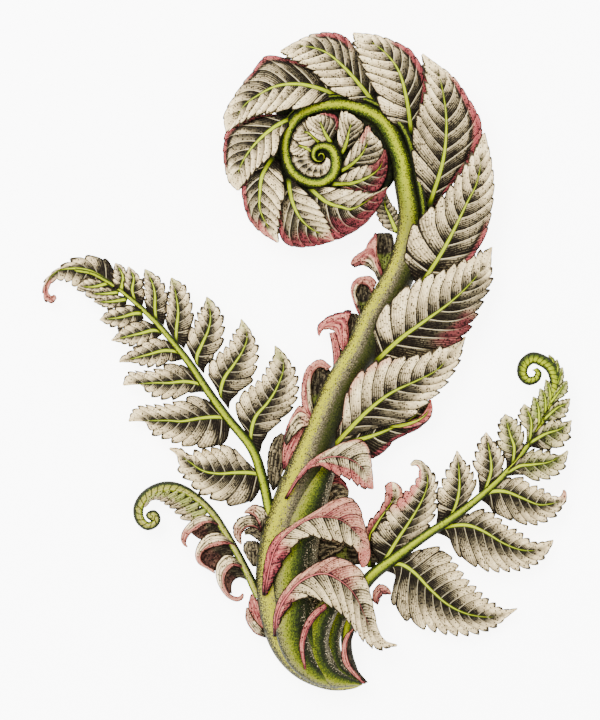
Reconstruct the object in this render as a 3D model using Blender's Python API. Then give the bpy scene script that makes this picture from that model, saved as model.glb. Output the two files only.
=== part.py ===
import math

import bmesh
import bpy
from mathutils import Vector

# The plan is drawn in millimetres: x to the right, y up the plant, z towards the eye, with the surface at z 0.
REST_X = 167.6
REST_Y = 162.2
MILLIMETRE = 0.001

# Stems are round with ten sides, turned so that one side lies flat on the surface.
STEM_SIDES = 10
THIN_SIDES = 6
BLADE = 0.8
CLEARANCE = 0.35
COIL_X = 160.0
COIL_Y = 281.9
COIL_Z = 13.0

MATERIALS = {
    "frond": ((0.42, 0.44, 0.22, 1.0), 0.62),
    "leaf": ((0.62, 0.57, 0.46, 1.0), 0.7),
    "bract": ((0.68, 0.42, 0.38, 1.0), 0.66),
    "shade": ((0.24, 0.23, 0.19, 1.0), 0.72),
}


def clear_scene():
    for item in list(bpy.data.objects):
        bpy.data.objects.remove(item, do_unlink=True)


def plan(x, y, z):
    return Vector((x - REST_X, y - REST_Y, z)) * MILLIMETRE


def along(values, u):
    """A value that runs evenly through a few given ones."""
    if isinstance(values, (int, float)):
        return float(values)
    span = min(max(u, 0.0), 1.0) * (len(values) - 1)
    low = min(int(span), len(values) - 2)
    part = span - low
    eased = part * part * (3.0 - 2.0 * part)
    return values[low] + (values[low + 1] - values[low]) * (0.5 * eased + 0.5 * part)


class Rail:
    """A smooth plan curve through a few points, walked by its length."""

    def __init__(self, points):
        ends = [self.reach(points[0], points[1])] + list(points) + [self.reach(points[-1], points[-2])]
        self.spots = []
        for k in range(1, len(ends) - 2):
            for step in range(12):
                self.spots.append(self.between(ends[k - 1 : k + 3], step / 12.0))
        self.spots.append(Vector(points[-1]).to_2d())
        self.lengths = [0.0]
        for a, b in zip(self.spots, self.spots[1:]):
            self.lengths.append(self.lengths[-1] + (b - a).length)

    def reach(self, a, b):
        return (2 * a[0] - b[0], 2 * a[1] - b[1])

    def between(self, four, f):
        a, b, c, d = [Vector(p) for p in four]
        square, cube = f * f, f * f * f
        return 0.5 * (2 * b + (c - a) * f + (2 * a - 5 * b + 4 * c - d) * square + (3 * b - a - 3 * c + d) * cube)

    def at(self, u):
        want = min(max(u, 0.0), 1.0) * self.lengths[-1]
        k = 0
        while k < len(self.lengths) - 2 and self.lengths[k + 1] < want:
            k += 1
        step = self.lengths[k + 1] - self.lengths[k]
        part = (want - self.lengths[k]) / step if step > 0 else 0.0
        return self.spots[k].lerp(self.spots[k + 1], part)

    def heading(self, u):
        return (self.at(min(u + 0.02, 1.0)) - self.at(max(u - 0.02, 0.0))).normalized()


def material(name):
    made = bpy.data.materials.get(name)
    if made is None:
        made = bpy.data.materials.new(name)
        made.use_nodes = True
        colour, rough = MATERIALS[name]
        shader = made.node_tree.nodes["Principled BSDF"]
        shader.inputs["Base Color"].default_value = colour
        shader.inputs["Roughness"].default_value = rough
        shader.inputs["Metallic"].default_value = 0.0
    return made


def finish(mesh_data, name, slot):
    bmesh.ops.recalc_face_normals(mesh_data, faces=mesh_data.faces[:])
    data = bpy.data.meshes.new(name)
    mesh_data.to_mesh(data)
    mesh_data.free()
    made = bpy.data.objects.new(name, data)
    made.data.materials.append(material(slot))
    bpy.context.scene.collection.objects.link(made)
    return made


def tube(name, points, widths, heights, centres, stations, sides=STEM_SIDES, slot="frond"):
    """A closed stem whose rings stand upright along a plan curve."""
    rail = Rail(points)
    body = bmesh.new()
    bmesh.ops.create_grid(body, x_segments=stations, y_segments=sides, size=0.5)
    for vert in body.verts:
        u = vert.co.x + 0.5
        turn = 2 * math.pi * (vert.co.y + 0.5) + math.pi / sides - math.pi / 2
        spot, heading = rail.at(u), rail.heading(u)
        aside = math.cos(turn) * along(widths, u)
        rise = math.sin(turn) * along(heights, u)
        vert.co = plan(spot.x + heading.y * aside, spot.y - heading.x * aside, along(centres, u) + rise)
    bmesh.ops.remove_doubles(body, verts=body.verts[:], dist=0.000002)
    bmesh.ops.holes_fill(body, edges=[edge for edge in body.edges if edge.is_boundary], sides=0)
    bmesh.ops.triangulate(body, faces=body.faces[:])
    return finish(body, name, slot)


def thicken(body, depth):
    """A second face below the first one, set off along the corners' normals."""
    body.normal_update()
    up = {tuple(vert.co): vert.normal.copy() for vert in body.verts}
    grown = bmesh.ops.extrude_face_region(body, geom=body.faces[:], use_keep_orig=True)
    for item in grown["geom"]:
        if isinstance(item, bmesh.types.BMVert):
            item.co -= up[tuple(item.co)] * depth


def tooth(row, rows, u):
    """Teeth stand out at every second row and die away at both ends of the blade."""
    return (row % 2) * min(1.0, 5.0 * (1.0 - u)) * min(1.0, 0.35 + 3.0 * u)


def blade(name, leaf, slot="leaf", flip=False):
    """A thin waved blade between two toothed margins, split into triangles that match on both faces."""
    rows, columns = leaf["rows"], leaf["columns"]
    left, mid, right = Rail(leaf["left"]), Rail(leaf["mid"]), Rail(leaf["right"])
    body = bmesh.new()
    bmesh.ops.create_grid(body, x_segments=rows, y_segments=columns, size=0.5)
    for vert in body.verts:
        u, side = vert.co.x + 0.5, 2.0 * vert.co.y
        row = int(round(u * rows))
        edge = left if side > 0 else right
        share = abs(side)
        rib, rim = mid.at(u), edge.at(u)
        out = rim - rib
        deep = leaf["depth"] * tooth(row, rows, u) * (share > 0.99)
        spot = rib + out * share
        if out.length > 0.01:
            spot += out.normalized() * deep + mid.heading(u) * deep * 0.7
        rim_z = along(leaf["zl"] if side > 0 else leaf["zr"], u)
        rib_z = along(leaf["z"], u)
        height = rib_z + (rim_z - rib_z) * share + leaf["arch"] * share * (1.0 - share) * 4.0
        if flip:
            height = 2 * COIL_Z - height - 0.6
        vert.co = plan(spot.x, spot.y, max(height, 0.9))
    bmesh.ops.triangulate(body, faces=body.faces[:], quad_method="FIXED")
    thicken(body, leaf.get("thick", BLADE) * MILLIMETRE)
    return finish(body, name, slot)


def leaflet(points, left_width, right_width, z, rows=8, depth=0.9, arch=0.8, full=0.85):
    """A leaflet's rails from its midrib and its greatest half-width on either side."""
    mid = Rail(points)
    rails = {"left": [], "right": []}
    for k in range(7):
        u = k / 6.0
        swell = max(math.sin(math.pi * u**full), 0.0) ** 0.75
        spot, heading = mid.at(u), mid.heading(u)
        for side, width, sign in (("left", left_width, 1.0), ("right", right_width, -1.0)):
            reach = max(width * swell, 0.45)
            rails[side].append((spot.x - heading.y * reach * sign, spot.y + heading.x * reach * sign))
    droop = [z[0], z[1] - 1.2, z[2]]
    return {
        "mid": points, "left": rails["left"], "right": rails["right"], "z": z, "zl": droop, "zr": droop,
        "rows": rows, "columns": 2, "depth": depth, "arch": arch,
    }


def traced(mid, left, right, z, rows=8, depth=0.9, arch=0.8):
    """A leaflet between two drawn margins, which hang a little lower than its midrib."""
    droop = [z[0], z[1] - 1.2, z[2]]
    return shape(mid, left, right, z, droop, droop, rows, 2, depth, arch)


def shape(mid, left, right, z, zl, zr, rows=12, columns=4, depth=2.0, arch=0.6, thick=BLADE):
    return {
        "mid": mid, "left": left, "right": right, "z": z, "zl": zl, "zr": zr,
        "rows": rows, "columns": columns, "depth": depth, "arch": arch, "thick": thick,
    }


def fuse(name, parts, slot, solver="EXACT"):
    """One body from the pieces of a node."""
    root, rest = parts[0], parts[1:]
    group = bpy.data.collections.new(name + "_parts")
    bpy.context.scene.collection.children.link(group)
    for item in rest:
        bpy.context.scene.collection.objects.unlink(item)
        group.objects.link(item)
    join = root.modifiers.new("join", "BOOLEAN")
    join.operation = "UNION"
    join.operand_type = "COLLECTION"
    join.collection = group
    join.solver = solver
    bpy.context.view_layer.objects.active = root
    bpy.ops.object.modifier_apply(modifier=join.name)
    for item in rest:
        bpy.data.objects.remove(item, do_unlink=True)
    bpy.data.collections.remove(group)
    keep_largest(root)
    root.name = name
    root.data.name = name
    root.data.materials.clear()
    root.data.materials.append(material(slot))
    return root


def trim(target, stem):
    """Ends a root a hair away from the stem it grows on."""
    cut = target.modifiers.new("clear", "BOOLEAN")
    cut.operation = "DIFFERENCE"
    cut.object = stem
    cut.solver = "EXACT"
    bpy.context.view_layer.objects.active = target
    bpy.ops.object.modifier_apply(modifier=cut.name)
    keep_largest(target)


def keep_largest(target):
    """Drops the crumbs that a cut leaves beside the piece."""
    body = bmesh.new()
    body.from_mesh(target.data)
    body.verts.ensure_lookup_table()
    seen, islands = set(), []
    for start in body.verts:
        if start in seen:
            continue
        island, queue = [], [start]
        seen.add(start)
        while queue:
            vert = queue.pop()
            island.append(vert)
            for edge in vert.link_edges:
                other = edge.other_vert(vert)
                if other not in seen:
                    seen.add(other)
                    queue.append(other)
        islands.append(island)
    islands.sort(key=len)
    for island in islands[:-1]:
        bmesh.ops.delete(body, geom=island, context="VERTS")
    body.to_mesh(target.data)
    body.free()


def coil_points(centre_x, centre_y, radii, first, last, step, start_radius=None):
    """Points down a coil whose radius is given at every quarter turn."""
    points = []
    angle = first
    while angle <= last + 0.001:
        if angle < 0 and start_radius is not None:
            radius = radii[0] + (start_radius - radii[0]) * (angle / first)
        else:
            radius = along(radii, angle / (90.0 * (len(radii) - 1)))
        turn = math.radians(angle)
        points.append((centre_x + radius * math.cos(turn), centre_y + radius * math.sin(turn)))
        angle += step
    return points


# Stem and coil, one curve from the foot to the heart of the crozier.
STEM_PLAN = [
    (176.5, 17.5), (166.0, 20.5), (155.0, 28.5), (147.5, 40.0), (142.8, 55.0), (140.4, 72.0), (143.0, 91.0),
    (149.8, 113.0), (159.4, 140.0), (169.0, 164.0), (180.4, 184.0), (187.5, 200.0), (198.5, 220.0),
    (203.6, 235.0), (205.2, 252.0), (202.6, 268.5),
]
STEM_WIDTH = [3.5, 6.5, 10.5, 13.2, 13.2, 12.6, 12.6, 11.8, 8.9, 8.3, 8.5, 8.3, 8.0, 7.0, 6.0, 5.6]
STEM_HEIGHT = [3.5, 5.5, 8.0, 9.5, 9.8, 9.8, 9.6, 9.2, 8.6, 8.4, 8.3, 8.1, 7.6, 6.8, 6.0, 5.6]
COIL_RADII = [40.4, 24.9, 17.2, 13.7, 7.65, 5.0, 3.45, 2.8, 2.1, 1.15, 0.67]
COIL_WIDTH = [5.3, 3.4, 2.7, 3.0, 3.7, 1.9, 1.5, 1.15, 0.86, 0.57, 0.45]


def stem_height_at(y):
    """The height of the stem's axis: on the surface up to y 195, then up to the crozier's."""
    lift = min(max((y - 190.0) / 62.0, 0.0), 1.0)
    return lift * lift * (3.0 - 2.0 * lift)


def main_stem(name, grown=0.0):
    """The stem from foot to the end of the coil; the grown copy is the cutter that clears the roots."""
    coil = coil_points(COIL_X, COIL_Y, COIL_RADII, 0.0, 900.0, 30.0)
    points = STEM_PLAN + coil
    widths = STEM_WIDTH + [along(COIL_WIDTH, k / (len(coil) - 1)) for k in range(len(coil))]
    heights = STEM_HEIGHT + widths[len(STEM_HEIGHT) :]
    sides = STEM_SIDES
    rail = Rail(points)
    knots = []
    for spot in points:
        best = min(range(len(rail.spots)), key=lambda k: (rail.spots[k] - Vector(spot)).length)
        knots.append(rail.lengths[best] / rail.lengths[-1])
    body = bmesh.new()
    count = len(points)
    bmesh.ops.create_grid(body, x_segments=count - 1, y_segments=sides, size=0.5)
    for vert in body.verts:
        k = int(round((vert.co.x + 0.5) * (count - 1)))
        turn = 2 * math.pi * (vert.co.y + 0.5) + math.pi / sides - math.pi / 2
        heading = rail.heading(knots[k])
        if k >= len(STEM_PLAN):
            before, after = points[max(k - 1, 0)], points[min(k + 1, count - 1)]
            heading = (Vector(after) - Vector(before)).normalized()
        width, height = widths[k] + grown, heights[k] + grown
        floor = heights[k] * math.cos(math.pi / sides)
        raised = stem_height_at(points[k][1]) if k < len(STEM_PLAN) else 1.0
        centre = floor + (COIL_Z - floor) * raised
        if k >= len(STEM_PLAN):
            centre += 1.5 * (k - len(STEM_PLAN)) / (count - len(STEM_PLAN))
        aside = math.cos(turn) * width
        x, y = points[k][0] + heading.y * aside, points[k][1] - heading.x * aside
        vert.co = plan(x, y, centre + math.sin(turn) * height)
    bmesh.ops.remove_doubles(body, verts=body.verts[:], dist=0.000002)
    bmesh.ops.holes_fill(body, edges=[edge for edge in body.edges if edge.is_boundary], sides=0)
    bmesh.ops.triangulate(body, faces=body.faces[:])
    return finish(body, name, "frond")


# Sheath stalks at the foot, from the inner one out: plan, half-width, half-height, height of the axis.
STALKS = [
    ([(175, 18), (163, 26), (154, 40), (149.5, 60), (148.5, 78), (151, 95), (155.5, 109), (161, 121)],
     [3, 7, 10, 11, 11, 10, 9, 5.5], [3, 6, 8, 8.5, 8.5, 8.5, 8, 5], [4, 9, 12, 13, 13.2, 13, 12.5, 11.5]),
    ([(174, 18), (162, 26), (153.5, 40), (148.5, 55), (146, 68), (147, 80), (150, 91)],
     [3, 6.5, 9, 10, 10, 9, 6.5], [3, 5.5, 7, 7.5, 7.5, 7.5, 5.5], [5, 10.5, 14, 15.6, 16, 16, 15.5]),
    ([(170, 17.5), (160, 22), (152.5, 29), (148, 38), (146, 47), (147, 57), (151, 65)],
     [2.5, 4.5, 6.5, 8, 8.2, 7.8, 5.5], [2.5, 4.5, 5.5, 6, 6, 6, 4.5], [7, 13.5, 17, 18.6, 19.2, 19, 17.5]),
    ([(174, 17.5), (165, 21.5), (159, 29), (157, 39), (158, 48), (162, 57)],
     [2.5, 5, 6, 6.3, 6.3, 5.5], [2.5, 4.5, 5, 5, 5, 4], [6, 10.5, 14.5, 16.5, 17, 16]),
    ([(179, 17.5), (170.5, 24), (167.2, 33), (167.6, 42), (170.5, 49)],
     [1.8, 2.6, 3.0, 3.0, 2.4], [1.8, 2.4, 2.8, 2.8, 2.4], [6, 9.5, 11.5, 12, 12]),
]


def pinna(mid, left, right, z, tilt, rows, depth, columns=4, arch=0.8):
    """A crozier pinna: its left margin rides over the next one's right margin."""
    zl = [z[0] + 0.4 * tilt] + [value + tilt for value in z[1:-1]] + [z[-1]]
    zr = [z[0] - 0.4 * tilt] + [value - tilt for value in z[1:-1]] + [z[-1]]
    return shape(mid, left, right, z, zl, zr, rows, columns, depth, arch)


CROWN = [
    pinna([(210.5, 218), (222, 236), (233, 258), (238.7, 270.6), (242, 293.6)],
          [(207.5, 219), (203, 226), (202.6, 234), (207, 245.7), (215.7, 253.4), (223.4, 262), (233.9, 276.3),
           (241.2, 293.2)],
          [(212.5, 217.6), (227.8, 223.4), (241.5, 240), (246.4, 264), (245.2, 280), (242.6, 293.4)],
          [13, 19.5, 21, 19, 14], 2.6, 16, 2.4),
    pinna([(214.3, 256.3), (221, 278.3), (222.9, 296.4), (221.5, 311.7), (218.1, 324.2), (211, 332.8)],
          [(211, 258), (207.1, 275.4), (206.7, 287.8), (210, 302.2), (213.4, 311.7), (213.5, 322), (210.5, 332.4)],
          [(216.5, 256), (227.2, 269), (238.5, 283), (240.6, 292.6), (239.7, 300.3), (233.9, 310.8),
           (226.3, 321.3), (211.5, 333.2)],
          [13, 18.5, 20.5, 19.5, 13], 2.6, 14, 1.8),
    pinna([(205.7, 292.6), (203.3, 308.9), (199.5, 323.2), (192.8, 332.8), (184.7, 339), (176.5, 343.3)],
          [(202, 293), (191.8, 302.2), (189, 311.7), (184.2, 322.3), (180.4, 332.8), (176.2, 342.8)],
          [(208, 293), (210.5, 304), (213.8, 318.4), (208.1, 330.9), (202.4, 336.6), (189, 341.9), (176.8, 343.8)],
          [13, 18.5, 20.5, 18.5, 12.5], 2.6, 12, 1.6),
    pinna([(188, 307), (180.4, 316.5), (171.7, 326.1), (162.2, 333.7), (150.7, 336.6), (140.2, 334.2)],
          [(183.5, 306.5), (171.7, 311.3), (165, 315.6), (157.4, 324.2), (147.8, 330.4), (140, 333.6)],
          [(190, 308.5), (186, 318.4), (182.3, 327), (174.6, 339.5), (167, 343.3), (157.4, 342.8),
           (147.8, 339), (140.2, 334.8)],
          [13, 18.5, 20, 18, 12.5], 2.4, 12, 1.5, 2),
    pinna([(169.8, 311.3), (161.2, 315), (149.7, 317.5), (138.3, 316.5), (128.7, 311.7), (121.5, 306),
           (113.4, 292.6)],
          [(168, 308.5), (161.2, 308.9), (151.7, 306), (142.1, 305), (128.7, 303.1), (119.1, 297.9), (113, 292.3)],
          [(170.5, 313.5), (160, 324), (145.9, 329.9), (133.5, 331.8), (126.8, 324.6), (119.1, 314.6),
           (112.4, 303), (112.8, 293)],
          [13, 18.5, 20, 18, 12.5], 2.4, 12, 1.5, 2),
    pinna([(145.9, 301.2), (138.3, 296.9), (130.6, 290.7), (123.9, 283), (119.6, 274.4), (119, 264.9)],
          [(147, 299), (141.1, 292.6), (138.3, 284), (131.6, 279.2), (124.9, 272.5), (119.6, 264.6)],
          [(145.5, 303), (128, 302), (114.5, 295.5), (112, 288), (112, 280), (114.3, 269.7), (118.4, 264.6)],
          [13, 18.5, 19.5, 17.5, 12.5], 2.4, 10, 1.3, 2),
    pinna([(136.6, 281.5), (131.4, 272.6), (130.1, 263.9), (130.6, 253.4), (139, 238.6)],
          [(140, 279), (142.1, 265.8), (139.7, 256.3), (138.6, 247), (139.6, 239)],
          [(135, 282.5), (124, 273), (121, 264.8), (123.9, 251.5), (130.6, 243.8), (138.5, 238.4)],
          [13, 18, 19.5, 17, 12.5], 2.2, 10, 1.2, 2),
    pinna([(144, 270.7), (145.9, 260), (149.7, 251.5), (155.5, 245.7), (167, 239.6)],
          [(147, 270), (150.7, 265.8), (157.4, 259), (160.3, 253.4), (164, 246), (167.4, 240.2)],
          [(142.5, 270.5), (139.5, 262), (140.6, 250), (145.5, 240.5), (152, 237), (166.8, 239)],
          [13, 17.5, 19, 16.5, 12.5], 2.2, 10, 1.2, 2),
    pinna([(154.5, 266.2), (163.1, 259), (170.8, 256.3), (177.5, 256), (193.6, 266.2)],
          [(157.5, 266), (162, 266.6), (174.6, 264.6), (184.2, 263), (190.9, 264.9), (193.5, 266.7)],
          [(153.5, 264.5), (157, 255), (162.2, 247.6), (172.7, 243.7), (183.8, 250.4), (191.8, 260.5), (193.9, 265.9)],
          [13, 17.5, 18.5, 16.5, 13], 2.0, 10, 1.0, 2),
    pinna([(165, 267.7), (175.6, 267), (184, 269.2), (192.2, 282)],
          [(166, 269.5), (172.7, 273.5), (182.3, 276.3), (188, 279), (191.8, 282.3)],
          [(165.5, 266), (176, 261), (184.5, 261.6), (190.9, 266.7), (193.6, 274.5), (192.7, 282)],
          [13, 17, 18, 16.5, 13.5], 1.8, 8, 0.9, 2),
    pinna([(169.3, 273.5), (177.5, 278.3), (183, 284.2), (187.2, 292.6)],
          [(168.5, 275.5), (172.7, 283), (178, 288.8), (183, 295), (186.8, 293)],
          [(170.8, 272.2), (179.4, 274.5), (188, 279), (190.4, 285.9), (187.6, 292.4)],
          [13, 16.5, 17.5, 16, 13.5], 1.6, 6, 0.8, 2),
    pinna([(171, 282.5), (173.8, 290.7), (175.2, 296.4), (177, 301)],
          [(169, 283.5), (168, 290), (169, 297), (176.4, 301.2)],
          [(173, 281.8), (180, 288), (182, 294.5), (177.6, 300.8)],
          [13, 16, 17, 15.5, 13.5], 1.4, 6, 0.7, 2),
    pinna([(165.5, 288.3), (162.7, 292.6), (160.5, 297.5), (158.4, 301.6)],
          [(163.5, 287.3), (157.4, 290.7), (154.6, 295.5), (158, 301.4)],
          [(167, 288.8), (168.5, 294), (167.6, 300.2), (158.8, 301.8)],
          [13, 15.5, 16.5, 15, 13.5], 1.2, 6, 0.6, 2),
]

STEM_LEAVES = [
    pinna([(186.8, 178.3), (199.6, 190.3), (212, 199.4), (224.5, 208.5), (235.2, 218.5), (243.5, 229.2),
           (245.9, 236.7)],
          [(185.5, 180), (186, 190), (188.6, 200), (194.6, 207.7), (202.5, 213.9), (211.2, 218.9),
           (219.5, 221.4), (227.4, 225.5), (237.4, 230.4), (245.4, 236.6)],
          [(188.5, 177.5), (206, 180), (227.8, 189.5), (235.3, 200), (239.8, 209.4), (244, 218.5), (246.4, 236.5)],
          [9.5, 16, 18.5, 16, 9], 3.0, 14, 2.6),
    pinna([(165.2, 135.1), (174.7, 145.5), (184.7, 155.5), (195.5, 163.7), (207.9, 169.6), (216.2, 173.7),
           (222, 178.7), (232.8, 191.9)],
          [(164, 137), (170, 148), (172.3, 160), (176, 167.9), (183, 174.5), (191.3, 178.7), (200.4, 179.5),
           (207.9, 180.4), (215.4, 182.2), (222, 186), (232.3, 191.7)],
          [(167, 134), (180, 137), (195, 143), (207.9, 149), (215.8, 158.6), (221.5, 166.2), (226, 175),
           (233.2, 191.6)],
          [9.5, 15, 18, 15.5, 8], 3.2, 14, 2.4),
]

INNER_STRIP = shape(
    [(150, 294), (146.6, 287), (147, 279), (151.5, 273.4), (158, 271.6), (164.5, 273.6)],
    [(153.5, 292), (150.4, 286), (151, 280.2), (154.4, 276.2), (158.8, 275.2), (162.6, 276.6)],
    [(147.5, 296), (142.8, 287.6), (143.8, 277.4), (149.6, 270.4), (158, 268), (166, 270.8)],
    [14, 15.4, 15.6, 15.4, 14], [13.4, 14.4, 14.6, 14.4, 13.4], [13, 13.6, 13.8, 13.6, 13], 12, 2, 0.8, 0.2)
BACK_STRIP = shape(
    [(157.6, 301.2), (150.5, 296), (147, 288), (146.8, 280), (150.5, 273.5)],
    [(159, 297.4), (154, 293.4), (151.4, 287.4), (151.2, 281), (153.8, 276.4)],
    [(156.4, 304.6), (147, 299), (142.6, 289), (142.4, 279), (147, 270.8)],
    [14, 15.2, 15.4, 15.2, 14], [13.4, 14.4, 14.6, 14.4, 13.4], [13, 13.4, 13.6, 13.4, 13], 10, 2, 0.8, 0.2)
BACK_PINNA = leaflet([(198.4, 243.5), (194.8, 252.4), (192.6, 257.3), (192.9, 264)], 5.5, 4.2, (11.5, 9.5, 8), 8, 0.7)


def build_main():
    parts = [main_stem("main_frond")]
    for number, (points, widths, heights, centres) in enumerate(STALKS):
        parts.append(tube("stalk_%d" % number, points, widths, heights, centres, len(points) + 1, 8))
    for number, leaf in enumerate(CROWN):
        parts.append(blade("front_%d" % number, leaf))
        plain = dict(leaf, columns=2, rows=5)
        parts.append(blade("back_%d" % number, plain, flip=True))
    for number, leaf in enumerate(STEM_LEAVES):
        parts.append(blade("stem_leaf_%d" % number, leaf))
    parts.append(blade("strip", INNER_STRIP))
    parts.append(blade("strip_end", BACK_STRIP))
    parts.append(blade("back_pinna", BACK_PINNA))
    return fuse("main_frond", parts, "frond", "MANIFOLD")


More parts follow.
